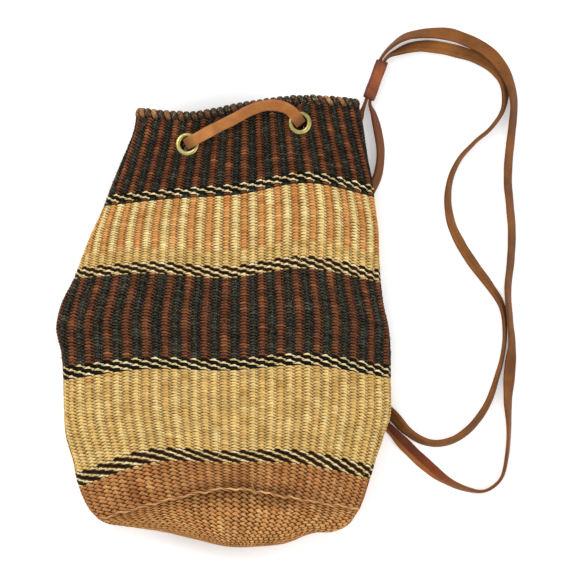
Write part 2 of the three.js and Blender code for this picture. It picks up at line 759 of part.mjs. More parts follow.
add('woven_body', geometryFrom(body), STRAW);
add('rim_binding', facingOut(sweep(rimStations, rimSection, true)), RIM);
for (const [name, { centre, turn }] of Object.entries(eyelets)) {
  const mesh = add(name, new THREE.LatheGeometry(eyeletSection, 16), BRASS);
  mesh.position.copy(centre);
  mesh.quaternion.copy(turn);
}
add('strap_thong', facingOut(sweep(strapStations, strapSection, false)), LEATHER);
const keeper = add('strap_keeper', keeperForm, KEEPER_LEATHER);
keeper.position.copy(keeperMiddle);
const tab = add('strap_anchor', tabForm, LEATHER);
tab.position.set(tabEnd - TAB_LENGTH / 2, laid(...TAB_PLACE)[1], tabTop - TAB_THICK);

// The origin goes on the floor under the middle of the bag itself.
group.updateMatrixWorld(true);
const bag = new THREE.Box3();
for (const mesh of group.children) {
  if (!['strap_thong', 'strap_keeper'].includes(mesh.name)) bag.expandByObject(mesh, true);
}
const middle = bag.getCenter(new THREE.Vector3());
for (const mesh of group.children) {
  mesh.position.x -= middle.x;
  mesh.position.y -= middle.y;
}

export default group;
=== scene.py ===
"""A woven straw bucket backpack lying on its back, with a leather drawstring strap.

Forms are worked out in millimetres and written to the meshes in metres. +X is the bag's right
seen from above, +Y points to its mouth and +Z up from the floor.
"""
import math

import bpy
import numpy as np
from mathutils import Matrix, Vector


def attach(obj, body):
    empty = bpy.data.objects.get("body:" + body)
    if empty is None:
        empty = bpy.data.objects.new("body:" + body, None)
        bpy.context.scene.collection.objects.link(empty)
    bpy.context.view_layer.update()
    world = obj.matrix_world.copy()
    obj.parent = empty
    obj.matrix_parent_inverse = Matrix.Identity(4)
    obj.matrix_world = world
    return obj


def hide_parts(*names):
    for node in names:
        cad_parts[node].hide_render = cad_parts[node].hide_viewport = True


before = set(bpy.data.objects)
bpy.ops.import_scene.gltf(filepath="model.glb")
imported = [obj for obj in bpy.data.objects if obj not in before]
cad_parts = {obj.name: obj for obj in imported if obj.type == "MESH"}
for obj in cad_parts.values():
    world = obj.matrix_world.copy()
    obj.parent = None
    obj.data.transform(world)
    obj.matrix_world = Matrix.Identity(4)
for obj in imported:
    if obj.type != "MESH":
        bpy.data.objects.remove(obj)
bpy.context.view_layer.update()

MM = 0.001
SHIFT = np.array([-0.004, -0.582, 0.0])

# Named sizes, mm
BODY_LENGTH = 382.5
BODY_WIDTH = 284.0
BODY_DEPTH = 54.0
WALL = 3.0
SEAT_GAP = 0.3
RIM_TALL = 8.5
RIM_THICK = 6.4
EYELET_BORE = 11.4
EYELET_WIDTH = 19.8
EYELET_LIP = 1.3
STRAP_WIDTH = 11.0
STRAP_THICK = 3.0
STRAP_UNIT = 0.85
KEEPER_LENGTH = 35.0
KEEPER_WALL = 2.0
KEEPER_PINCH = 0.72

# Weaving: ribs round the bag, rows down the wall, first row of the foot, rows of the base
RIBS = 72
ROWS = 132
FOOT_ROW = 123
BASE_ROWS = 17
RIB_FACETS = 8
ROW_FACETS = 4
BASE_FACETS = 5
RIB_RISE = 1.5
STITCH_RISE = 0.5
# first row and number of rows of each cream and black line
LINES = {26: 3, 55: 4, 87: 4, 119: 4}
# rows that a stitch drops across its rib, and that it arches up in the middle of it
SLANT_LIGHT = 0.4
SLANT_DARK = 0.7
SLANT_LINE = 0.85
SLANT_BASE = 0.6
ARCH = [0.5, 0.3]
ARCH_ROWS = [80, 125]
ZIGZAG = 0.12
BASE_SWELL = 1.25
BASE_FADE = 0.7
# place in the weave that the fold over the foot shades most
SHADED_RIB = 145
SHADED_ROW = 132.0
RIM_LEAN = 0.3
# along its axis, the depth of weave that an eyelet reaches; from its axis, where the weave is cut away
# and where its relief starts again and over how far
EYELET_DEPTH = 12
EYELET_CUT = 7.0
CALM_START = 9.0
CALM_WIDTH = 4.0
# least height of a soft piece above the floor
LOWEST = 0.05


# Camera

VIEW_CENTRE = np.array([56.1, 25.8, 10.0])
VIEW_WIDTH = 493.0
VIEW_DISTANCE = 5200.0


def make_camera():
    """Looks straight down from high above with a long lens: width in view = sensor x distance / lens."""
    data = bpy.data.cameras.new("camera")
    data.sensor_width = 36.0
    data.lens = 36.0 * VIEW_DISTANCE / VIEW_WIDTH
    data.clip_end = 50.0
    camera = bpy.data.objects.new("camera", data)
    camera.location = Vector((VIEW_CENTRE + [0, 0, VIEW_DISTANCE]) * MM)
    bpy.context.scene.collection.objects.link(camera)
    bpy.context.scene.camera = camera
    return camera


make_camera()

# Meshes


def mesh_piece(name, node, points, quads, uv, material, triangles=None):
    """One object from arrays: points in mm, faces as rows of indices, uv as one pair for each corner.
    It stands for a CAD node and takes its finish from a slot."""
    mesh = bpy.data.meshes.new(name)
    groups = [np.asarray(g, np.int32) for g in (quads, triangles) if g is not None and len(g)]
    corners = np.concatenate([g.ravel() for g in groups])
    sizes = np.concatenate([np.full(len(g), g.shape[1], np.int32) for g in groups])
    starts = np.concatenate([[0], np.cumsum(sizes)[:-1]]).astype(np.int32)
    mesh.vertices.add(len(points))
    mesh.vertices.foreach_set("co", ((points + SHIFT) * MM).astype(np.float32).ravel())
    mesh.loops.add(len(corners))
    mesh.loops.foreach_set("vertex_index", corners)
    mesh.polygons.add(len(sizes))
    mesh.polygons.foreach_set("loop_start", starts)
    mesh.polygons.foreach_set("use_smooth", np.ones(len(sizes), bool))
    if uv is not None:
        layer = mesh.uv_layers.new(name="weave")
        layer.data.foreach_set("uv", np.asarray(uv, np.float32).ravel())
    mesh.update(calc_edges=True)
    mesh.validate()
    mesh.materials.append(material)
    piece = bpy.data.objects.new(name, mesh)
    bpy.context.scene.collection.objects.link(piece)
    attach(piece, "root")
    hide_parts(node)
    return piece


def grid_quads(rows, columns, looped=False):
    """Faces of a grid of rows x columns points whose rows close round, and whose last row joins the
    first where looped; and the two grid steps (column, row) of each corner, counted on past a seam."""
    j, i = np.meshgrid(np.arange(rows if looped else rows - 1), np.arange(columns), indexing="ij")
    row = np.stack([j, j, j + 1, j + 1], -1).reshape(-1, 4)
    column = np.stack([i, i + 1, i + 1, i], -1).reshape(-1, 4)
    return row % rows * columns + column % columns, np.stack([column, row], -1)


def unit(vectors):
    return vectors / np.linalg.norm(vectors, axis=-1, keepdims=True)


def normals_of(points):
    """Unit normals of a grid of points (rows, columns, 3) closed round its rows: step along a row
    crossed with step down a column."""
    across = np.roll(points, -1, 1) - np.roll(points, 1, 1)
    normal = np.cross(across, np.gradient(points, axis=0))
    return normal / np.maximum(np.linalg.norm(normal, axis=-1, keepdims=True), 1e-9)


def tube(line, right, up, wide, tall):
    """A section carried along a line: each point is line + right x wide + up x tall."""
    return line[:, None] + right[:, None] * wide[..., None] + up[:, None] * tall[..., None]


def squared(value, power):
    """A sine or cosine raised to a power with its sign kept, which squares off a round section."""
    return np.sign(value) * np.abs(value) ** power


def dice(*parts, seed=0.0):
    """An even spread of numbers from 0 to 1 for whole-number arrays: the fraction of a large sine."""
    total = seed
    for part, weight in zip(parts, (12.9898, 78.233, 37.719)):
        total = total + np.asarray(part, float) * weight
    return np.modf(np.abs(np.sin(total) * 43758.5453))[0]


def smooth(value):
    share = np.clip(value, 0, 1)
    return share * share * (3 - 2 * share)


def track(knots, values, place):
    """A smooth curve through the values at the knots: a cubic between each two, its slope at a knot
    taken from that knot's two neighbours."""
    knots = np.asarray(knots, float)
    place = np.asarray(place, float)
    values = [np.broadcast_to(np.asarray(v, float), place.shape) for v in values]
    last = len(knots) - 1
    i = np.clip(np.searchsorted(knots, place) - 1, 0, last - 1)

    def slope(k):
        low, high = np.maximum(k - 1, 0), np.minimum(k + 1, last)
        return (np.choose(high, values) - np.choose(low, values)) / (knots[high] - knots[low])

    step = knots[i + 1] - knots[i]
    t = np.clip((place - knots[i]) / step, 0, 1)
    square, cube = t * t, t * t * t
    return (
        np.choose(i, values) * (2 * cube - 3 * square + 1)
        + slope(i) * step * (cube - 2 * square + t)
        + np.choose(i + 1, values) * (3 * square - 2 * cube)
        + slope(i + 1) * step * (cube - square)
    )


# Form of the bag

# Share of the length down from the mouth; left and right edges as shares of the width.
OUTLINE = [
    [0.0, -0.257, 0.392], [0.047, -0.26, 0.41], [0.089, -0.272, 0.419], [0.142, -0.302, 0.43],
    [0.196, -0.332, 0.443], [0.249, -0.359, 0.452], [0.302, -0.392, 0.461], [0.356, -0.422, 0.463],
    [0.409, -0.449, 0.467], [0.462, -0.485, 0.476], [0.516, -0.5, 0.492], [0.569, -0.485, 0.497],
    [0.622, -0.479, 0.497], [0.702, -0.476, 0.497], [0.756, -0.47, 0.476], [0.809, -0.449, 0.452],
    [0.862, -0.433, 0.43], [0.916, -0.401, 0.404], [0.942, -0.368, 0.38],
]

# Rows of weaving: share of the way down; where each crosses the left edge, a quarter, a half,
# three quarters and the right edge of the front and the middle of the back, as shares of the
# length; heights of front, folds and back as shares of the depth; squareness.
RINGS = [
    [0.0, 0.047, 0.056, 0.035, 0.02, 0.026, 0.062, 0.815, 0.48, 0.222, 2.5],
    [0.211, 0.233, 0.218, 0.207, 0.182, 0.211, 0.213, 0.87, 0.444, 0.13, 2.5],
    [0.431, 0.393, 0.381, 0.391, 0.369, 0.4, 0.382, 0.85, 0.37, 0.0, 2.4],
    [0.553, 0.502, 0.489, 0.493, 0.478, 0.507, 0.462, 0.89, 0.352, 0.0, 2.4],
    [0.674, 0.616, 0.593, 0.596, 0.584, 0.613, 0.547, 0.926, 0.37, 0.0, 2.4],
    [0.8, 0.738, 0.698, 0.701, 0.696, 0.727, 0.649, 0.963, 0.426, 0.074, 2.4],
    [0.918, 0.853, 0.798, 0.8, 0.8, 0.836, 0.751, 1.0, 0.463, 0.074, 2.4],
    [1.0, 0.938, 0.896, 0.869, 0.89, 0.916, 0.822, 0.963, 0.444, 0.0, 2.3],
]
ACROSS = [-1, -0.5, 0, 0.5, 1]

# Lower edge of the base: place between its corners, share of the length.
NOSE = [
    [-1, 0.938], [-0.93, 0.948], [-0.75, 0.956], [-0.5, 0.967], [-0.25, 0.984], [0, 1.0],
    [0.25, 0.999], [0.45, 0.991], [0.6, 0.973], [0.68, 0.968], [0.8, 0.966], [0.92, 0.949],
    [1, 0.916],
]

# Dents and swellings of the front: place across and down, reach across and down, depth.
DENTS = [
    [0.0, 0.915, 0.23, 0.03, 0.15], [0.02, 0.84, 0.24, 0.03, 0.07],
    [-0.452, 0.49, 0.022, 0.09, 0.1], [0.466, 0.56, 0.02, 0.1, 0.08],
    [0.06, 0.11, 0.2, 0.07, 0.08], [0.2, 0.72, 0.14, 0.1, -0.05],
    [-0.2, 0.3, 0.12, 0.12, -0.04],
]
RIB_LINE = 0.063


def column(table, index):
    return [row[index] for row in table]


def lengthwise(share):
    return BODY_LENGTH * (0.5 - share)


def ring_at(warp):
    """The row of weaving at a share of the way down, every value read from its table by track."""
    read = lambda k: track(column(RINGS, 0), column(RINGS, k), warp)
    downs = [read(k) for k in range(1, 6)]
    left = BODY_WIDTH * track(column(OUTLINE, 0), column(OUTLINE, 1), downs[0])
    right = BODY_WIDTH * track(column(OUTLINE, 0), column(OUTLINE, 2), downs[4])
    return {
        "downs": downs, "back": read(6), "middle": (left + right) / 2, "half": (right - left) / 2,
        "crown": BODY_DEPTH * read(7), "fold": BODY_DEPTH * read(8),
        "belly": BODY_DEPTH * np.maximum(0, read(9)), "square": read(10),
    }


def dented(x, y, z, ring):
    """Takes a sum of round hollows off the height, fading to nothing at the side folds."""
    depth = 0
    for across, down, reach_x, reach_y, share in DENTS:
        dx = (x - BODY_WIDTH * across) / (BODY_WIDTH * reach_x)
        dy = (y - lengthwise(down)) / (BODY_LENGTH * reach_y)
        depth = depth + BODY_DEPTH * share * np.exp(-dx * dx - dy * dy)
    return z - depth * smooth(1.6 * (z - ring["fold"]) / (ring["crown"] - ring["fold"]))


def front_of(ring, across):
    """The upper side of a row: a rounded rectangle's upper half over the row's width."""
    along = np.abs(across) ** (ring["square"] / 2)
    up = np.sqrt(np.maximum(0, 1 - along * along))
    x = ring["middle"] + across * ring["half"]
    y = lengthwise(track(ACROSS, ring["downs"], across))
    z = ring["fold"] + (ring["crown"] - ring["fold"]) * up ** (2 / ring["square"])
    return np.stack(np.broadcast_arrays(x, y, dented(x, y, z, ring)), -1)


def back_of(ring, across):
    """The under side of a row: it drops from the folds to the floor and lies flat there."""
    along = np.abs(across) ** (ring["square"] / 2)
    down = np.sqrt(np.maximum(0, 1 - along * along))
    left, right = ring["downs"][0], ring["downs"][4]
    x = ring["middle"] + across * ring["half"]
    level = left + (right - left) * (across + 1) / 2
    y = lengthwise(level + (ring["back"] - (left + right) / 2) * (1 - across * across))
    z = ring["fold"] + (ring["belly"] - ring["fold"]) * np.minimum(1, 1.06 * down ** (2 / 3))
    return np.stack(np.broadcast_arrays(x, y, z), -1)


def wall_at(ring, angle):
    """A point of the wall by its angle round the row: the cosine gives the place across it, and the
    sine the side."""
    across = np.clip(squared(np.cos(angle), 2 / ring["square"]), -1, 1)
    upper = (np.sin(angle) >= 0)[..., None]
    return np.where(upper, front_of(ring, across), back_of(ring, across))


RIB_ROWS = 89
RIB_DRIFT_TOP = 0.0075
RIB_DRIFT_FOOT = 0.011


def rib_angles(warps, shares):
    """The angle of each rib (share of the way round) in each row: even arc length round the row,
    counted from the middle rib of the front, with the ribs a little wider apart at the top and
    drawn together on the right lower down."""
    coarse = np.linspace(0, 1, RIB_ROWS)
    ring = ring_at(coarse[:, None])
    fine = np.linspace(-2 * np.pi, 4 * np.pi, 1441)
    points = wall_at(ring, fine[None, :])
    reach = np.concatenate([
        np.zeros((RIB_ROWS, 1)), np.cumsum(np.linalg.norm(np.diff(points, axis=1), axis=-1), 1),
    ], 1)
    x = points[..., 0]
    table = np.empty((RIB_ROWS, len(shares)))
    swing = np.sin(2 * np.pi * (0.25 - shares))
    front = (fine >= 0) & (fine <= np.pi)
    for k in range(RIB_ROWS):
        lap = reach[k, -1] / 3
        origin = np.interp(-BODY_WIDTH * RIB_LINE, -x[k, front], reach[k, front])
        lower = smooth((coarse[k] - 0.25) / 0.25)
        drift = RIB_DRIFT_FOOT * lower * np.maximum(swing, 0) - RIB_DRIFT_TOP * (1 - lower) * swing
        table[k] = np.interp(origin + (shares + drift - 0.25) * lap, reach[k], fine)
    place = np.clip(warps, 0, 1) * (RIB_ROWS - 1)
    low = np.minimum(place.astype(int), RIB_ROWS - 2)
    part = (place - low)[:, None]
    return table[low] * (1 - part) + table[low + 1] * part


def bezier(a, b, c, d, t):
    return a * (1 - t) ** 3 + 3 * b * t * (1 - t) ** 2 + 3 * c * t * t * (1 - t) + d * t ** 3


def base_at(angle, reach):
    """The round base folded over the bag's lower edge: reach 1 at its rim and 0 at its centre; each
    point runs on a cubic from the lower edge up to the front or down to the back of the last row."""
    foot = ring_at(np.ones_like(angle * reach))
    rib = np.clip(squared(np.cos(angle), 2 / foot["square"]), -1, 1)
    side = np.where(np.sin(angle) >= 0, 1.0, -1.0)
    across = rib * (1 - (1 - reach) ** 3)
    rise = side * np.sqrt(np.maximum(0, 1 - rib * rib)) * reach
    turn = np.clip(rise / np.sqrt(np.maximum(1e-9, 1 - across * across)), -1, 1)
    x = foot["middle"] + across * foot["half"]
    edge = lengthwise(track(column(NOSE, 0), column(NOSE, 1), across))
    front, back = front_of(foot, across), back_of(foot, across)
    lift = front[..., 2] - foot["fold"]
    t = np.maximum(turn, 0)
    fy = bezier(edge, edge, front[..., 1] + 0.45 * (edge - front[..., 1]), front[..., 1], t)
    fz = bezier(foot["fold"], foot["fold"] + 0.75 * lift, front[..., 2] - 0.02 * lift, front[..., 2], t)
    fz = dented(x, fy, fz, foot)
    drop = foot["fold"] - back[..., 2]
    t = np.maximum(-turn, 0)
    by = bezier(edge, edge, back[..., 1] + 0.55 * (edge - back[..., 1]), back[..., 1], t)
    low = back[..., 2] - 0.08 * drop
    bz = np.maximum(back[..., 2], bezier(foot["fold"], low, low, back[..., 2], t))
    upper = turn >= 0
    return np.stack([x, np.where(upper, fy, by), np.where(upper, fz, bz)], -1)


def skin(shares, warps, reaches):
    """Rows of points down the wall and on over the base, all on the same ribs."""
    angles = rib_angles(warps, shares)
    wall = wall_at(ring_at(warps[:, None]), angles)
    if not len(reaches):
        return wall
    foot = rib_angles(np.array([1.0]), shares)
    base = base_at(np.repeat(foot, len(reaches), 0), reaches[:, None])
    return np.concatenate([wall, base])


# Eyelets

# Share of the width across, share of the length down, side: 1 for the front, -1 for the back.
EYELETS = {
    "eyelet_front_left": [-0.108, 0.109, 1],
    "eyelet_front_right": [0.2275, 0.062, 1],
    "eyelet_back_left": [-0.102, 0.122, -1],
    "eyelet_back_right": [0.2275, 0.089, -1],
}


def place_on(x, y, side):
    """The place on the front or the back at a spot seen from above, and its outward normal, by halving
    the range of rows that can hold it."""
    def spot(warp, dx):
        ring = ring_at(np.array(warp))
        across = np.clip((x + dx - ring["middle"]) / ring["half"], -1, 1)
        return (front_of if side > 0 else back_of)(ring, across)

    low, high = 0.0, 1.0
    for _ in range(40):
        warp = (low + high) / 2
        low, high = (warp, high) if spot(warp, 0)[1] > y else (low, warp)
    upwards = spot(max(0, warp - 0.02), 0) - spot(warp + 0.02, 0)
    normal = unit(np.cross(spot(warp, 5) - spot(warp, -5), upwards))
    return spot(warp, 0), normal if normal[2] * side > 0 else -normal


eyelets = {}
for eyelet_name, (across, down, side) in EYELETS.items():
    spot, normal = place_on(BODY_WIDTH * across, lengthwise(down), side)
    eyelets[eyelet_name] = (spot - normal * WALL / 2, normal)

# Strap

# Route in strap units, counted across and down from the upper left: place, height of the
# underside in mm, lean of the width from flat in degrees, width as a share of the full width.
LAY_MIDDLE = [224, 321]
TAB_PLACE = [278, 415]
KEEPER_PLACE = [[382.2, 61.8], [375.6, 80]]
OUTER_STRAND = [
    [300, 422, 0.2, 0, 1], [330, 422, 0.2, 0, 1], [358, 420, 0.2, 0, 1], [375, 418, 0.2, 12, 0.95],
    [388, 427, 0.2, 52, 0.95], [405, 445, 0.2, 22, 1], [425, 464, 0.1, 14, 1], [446, 480, 0.1, 58, 1],
    [466, 489, 0.1, 76, 1], [485, 491, 0.1, 88, 1], [501, 479, 0.1, 86, 1], [507, 456, 0.1, 82, 1],
    [509, 429, 0.1, 78, 1], [508, 401, 0.1, 58, 1], [510, 370, 0.1, 34, 1], [512, 344, 0.1, 62, 1],
    [510, 318, 0.1, 70, 1], [508, 290, 0.1, 66, 1], [511, 259, 0.1, 62, 1], [512, 231, 0.1, 60, 1],
    [510, 205, 0.1, 60, 1], [508, 181, 0.1, 58, 1], [509, 157, 0.1, 57, 1], [512, 130, 0.1, 60, 1],
    [514, 104, 0.6, 62, 1], [510, 83, 2.4, 52, 1], [500, 64, 4.2, 30, 1], [486, 50, 4.6, 22, 1],
    [467, 40, 3.4, 18, 1], [449, 34, 1.2, 20, 1], [429, 33, 0.2, 45, 1], [408, 36, 0.4, 62, 1],
    [394, 44, 1.6, 76, 0.9],
]
OUTER_TAIL = [
    [362.5, 110, 1.2, 100, 0.8], [357, 120, 0.3, 140, 0.9], [343, 124, 0.2, 180, 1],
    [322, 127, 0.2, 180, 0.9],
]
INNER_TAIL = [
    [212, 156, 0.2, 0, 0.9], [240, 168, 0.2, 0, 1], [275, 184, 0.2, 0, 1], [310, 196, 0.2, 0, 1],
    [340, 202, 0.2, 4, 1], [361, 199, 0.1, 30, 1], [373, 186, 0.1, 50, 1], [379, 170, 0.1, 58, 1],
    [380.5, 149, 0.1, 60, 1], [378, 132, 0.1, 58, 1], [374, 115, 0.6, 68, 0.9],
]
INNER_STRAND = [
    [401, 50.5, 0.6, 122, 0.95], [419, 46, 0.1, 142, 1], [438, 47, 0.1, 158, 1],
    [457, 51, 0.1, 160, 1], [476, 57, 0.1, 150, 1], [493, 66.5, 0.1, 158, 1],
    [503, 79, 0.1, 140, 1], [505.5, 94, 0.1, 116, 1], [502.5, 111, 0.1, 100, 1],
    [491, 128, 0.1, 96, 1], [475, 142, 0.1, 96, 1], [459, 160, 0.1, 102, 1],
    [450, 181, 0.1, 108, 1], [448, 203, 0.1, 116, 1], [452, 225, 0.1, 124, 1],
    [462, 246, 0.1, 132, 1], [475, 266, 0.1, 132, 1], [490, 286, 0.1, 122, 1],
    [502, 306, 0.1, 112, 1], [505, 329, 0.1, 102, 1], [503, 354, 0.1, 100, 1],
    [496.5, 379, 0.1, 106, 1], [488, 403, 0.1, 112, 1], [474, 424, 0.1, 116, 1],
    [457, 438, 0.1, 116, 1], [438, 443.5, 0.1, 114, 1], [421, 440, 0.6, 118, 1],
    [406, 430, 2.4, 128, 1], [392, 415, 3.5, 152, 1], [377, 405, 2.0, 180, 0.95],
    [358, 404, 0.2, 180, 1], [330, 407, 0.2, 180, 1], [300, 408, 0.2, 180, 1],
]
# Between the two front eyelets: place, height of the centre, lean.
BRIDGE = [
    [291, 112.5, 52.0, 24], [280, 107.5, 54.5, 28], [266, 107, 54.0, 32], [250, 112, 52.5, 32],
    [234, 120.5, 51.5, 30], [217, 129, 51.0, 26], [202, 137, 50.0, 20],
]
UP = np.array([0.0, 0.0, 1.0])
WARPWISE = np.array([0.0, 1.0, 0.0])


def laid(across, down, height=0.0):
    x, y = across - LAY_MIDDLE[0], LAY_MIDDLE[1] - down
    return np.array([STRAP_UNIT * x, STRAP_UNIT * y, height])


def lying(rows):
    """Stations (centre, lean, fixed width axis, pinch) of a lying stretch: the centre stands at half
    the leaning section above its underside."""
    stations = []
    for across, down, under, lean, pinch in rows:
        angle = math.radians(lean)
        tall = STRAP_WIDTH * pinch * abs(math.sin(angle)) + STRAP_THICK * abs(math.cos(angle))
        stations.append((laid(across, down, under + tall / 2), angle, None, pinch))
    return stations


def through_mouth(back, front, toward):
    """Stations through a back eyelet, across the mouth and out of the front eyelet above it: the
    width lies along the warp at the back and square to the stretch that follows at the front."""
    onward = laid(toward[0], toward[1]) - front[0]
    square = unit(np.array([-onward[1], onward[0], 0.0]))
    square *= np.sign(square[1])
    onward = unit(onward)
    under = np.array([back[0][0] + 7, back[0][1], STRAP_THICK / 2 + 0.9])
    spots = [
        (under, WARPWISE, 0.8), (back[0] + back[1] * 4.6 + [1.6, 0, 0], WARPWISE, 0.78),
        (back[0], WARPWISE, 0.8), (back[0] - back[1] * 6, WARPWISE, 0.8),
        (front[0] - front[1] * 6, square, 0.8), (front[0] - onward * 0.7, square, 0.86),
        (front[0] + front[1] * 4.8 + onward * 0.6, square, 0.9),
    ]
    return [(spot, 0.0, axis, pinch) for spot, axis, pinch in spots]


keeper_middle = laid(*KEEPER_PLACE[1])
keeper_axis = unit(laid(*KEEPER_PLACE[0]) - keeper_middle)
keeper_right = np.cross(keeper_axis, UP)
CLEAR_WIDTH = 2 * STRAP_THICK + 4 * SEAT_GAP
CLEAR_HEIGHT = STRAP_WIDTH * KEEPER_PINCH + 2 * SEAT_GAP


def in_keeper(lane, along):
    """Inside the keeper both strands stand on edge, side by side."""
    spot = (
        keeper_middle + keeper_right * lane * (STRAP_THICK / 2 + SEAT_GAP)
        + keeper_axis * along * (KEEPER_LENGTH / 2 + 1.5) + UP * (KEEPER_WALL + CLEAR_HEIGHT / 2)
    )
    return (spot, 0.0, UP, KEEPER_PINCH)


def strap_end(row):
    (spot, angle, axis, pinch), = lying([row])
    spot[0] = laid(*TAB_PLACE)[0] + SEAT_GAP
    return (spot, angle, axis, pinch)


def strap_route():
    """All stations from one end at the tab, through the keeper and the mouth, back to the other end."""
    bridge = [(laid(a, d, h), math.radians(-lean), None, 0.9) for a, d, h, lean in BRIDGE]
    return (
        [strap_end([TAB_PLACE[0], 422, 0.2, 0, 1])] + lying(OUTER_STRAND)
        + [in_keeper(-1, 1), in_keeper(-1, -1)] + lying(OUTER_TAIL)
        + through_mouth(eyelets["eyelet_back_right"], eyelets["eyelet_front_right"], BRIDGE[0]) + bridge
        + through_mouth(eyelets["eyelet_back_left"], eyelets["eyelet_front_left"], BRIDGE[-1])[::-1]
        + lying(INNER_TAIL) + [in_keeper(1, -1), in_keeper(1, 1)] + lying(INNER_STRAND)
        + [strap_end([TAB_PLACE[0], 408, 0.2, 180, 1])]
    )


def strap_axes(route):
    """Width axis at each station: the lean turns it from level to upright about the direction of
    travel, and it keeps its sense from one station to the next."""
    centres = np.array([spot for spot, _, _, _ in route])
    ahead = np.vstack([centres[1:], centres[-1:]])
    behind = np.vstack([centres[:1], centres[:-1]])
    travel = unit(ahead - behind)
    axes = []
    for (spot, angle, axis, pinch), t in zip(route, travel):
        if axis is None:
            level = np.array([-t[1], t[0], 0.0]) / np.hypot(t[0], t[1])
            axis = level * math.cos(angle) + unit(UP - t * t[2]) * math.sin(angle)
        axis = unit(axis - t * np.dot(axis, t))
        axes.append(axis if not axes or np.dot(axes[-1], axis) >= 0 else -axis)
    return centres, np.array(axes), np.array([pinch for _, _, _, pinch in route])


def through(knots, values, places):
    """A smooth curve through rows of values at uneven knots, with slopes from neighbouring knots."""
    low = np.maximum(np.arange(len(knots)) - 1, 0)
    high = np.minimum(np.arange(len(knots)) + 1, len(knots) - 1)
    upright = (-1, *[1] * (values.ndim - 1))
    slopes = (values[high] - values[low]) / (knots[high] - knots[low]).reshape(upright)
    i = np.clip(np.searchsorted(knots, places) - 1, 0, len(knots) - 2)
    step = (knots[i + 1] - knots[i]).reshape(upright)
    t = ((places - knots[i]) / (knots[i + 1] - knots[i])).reshape(step.shape)
    return (
        values[i] * (2 * t ** 3 - 3 * t ** 2 + 1) + slopes[i] * step * (t ** 3 - 2 * t ** 2 + t)
        + values[i + 1] * (3 * t ** 2 - 2 * t ** 3) + slopes[i + 1] * step * (t ** 3 - t ** 2)
    )


centres, axes, pinches = strap_axes(strap_route())
knots = np.concatenate([[0], np.cumsum(np.linalg.norm(np.diff(centres, axis=0), axis=1))])
STRAP_STEPS = 1300
BRIDGE_LEAST = 48
UV_PER_MM = 0.1
places = np.linspace(0, knots[-1], STRAP_STEPS)
strap_line = through(knots, centres, places)
strap_pinch = through(knots, pinches, places)
strap_travel = unit(np.gradient(strap_line, axis=0))
strap_wide = through(knots, axes, places)
strap_wide = unit(strap_wide - strap_travel * np.sum(strap_wide * strap_travel, 1, keepdims=True))
strap_flat = np.cross(strap_travel, strap_wide)
# the bridge between the front eyelets is the only stretch higher than its least height
raised = np.flatnonzero(centres[:, 2] > BRIDGE_LEAST)
BRIDGE_SPAN = (knots[raised[0] - 1] * UV_PER_MM, knots[raised[-1] + 1] * UV_PER_MM)


# Shader maths


def paint(red, green, blue):
    """A colour given as 0-255 screen values, turned to light: ((c + 0.055) / 1.055) to the power 2.4,
    or c / 12.92 where it is very dark."""
    values = [c / 255 for c in (red, green, blue)]
    light = [((c + 0.055) / 1.055) ** 2.4 if c > 0.04045 else c / 12.92 for c in values]
    return (*light, 1.0)


def paints(colours):
    """The paint of each colour in a list."""
    return [paint(*colour) for colour in colours]


class Num:
    """A number, point or colour in a shader; its operators add the nodes that work it out."""

    def __init__(self, finish, socket):
        self.finish, self.socket = finish, socket

    def op(self, kind, *rest):
        return self.finish.math(kind, self, *rest)

    def __add__(self, other):
        return self.op("ADD", other)

    def __sub__(self, other):
        return self.op("SUBTRACT", other)

    def __rsub__(self, other):
        return self.finish.math("SUBTRACT", other, self)

    def __mul__(self, other):
        return self.op("MULTIPLY", other)

    def __truediv__(self, other):
        return self.op("DIVIDE", other)

    def __rtruediv__(self, other):
        return self.finish.math("DIVIDE", other, self)

    def __pow__(self, other):
        return self.op("POWER", other)

    def __mod__(self, other):
        return self.op("FLOORED_MODULO", other)

    def __gt__(self, other):
        return self.op("GREATER_THAN", other)

    def __lt__(self, other):
        return self.op("LESS_THAN", other)

    __radd__, __rmul__ = __add__, __mul__

    def floor(self):
        return self.op("FLOOR")

    def size(self):
        return self.op("ABSOLUTE")

    def to_edge(self):
        """0 at both ends of a share and 1 in its middle."""
        return self.op("MINIMUM", 1 - self) * 2.0

    def clip(self, low=0.0, high=1.0):
        return self.op("MAXIMUM", low).op("MINIMUM", high)

    def smooth(self, low, high):
        """0 below low and 1 above high, with a soft step between."""
        t = ((self - low) / (high - low)).clip()
        return t * t * (3 - 2 * t)


OBJECT_OUTPUT = 3


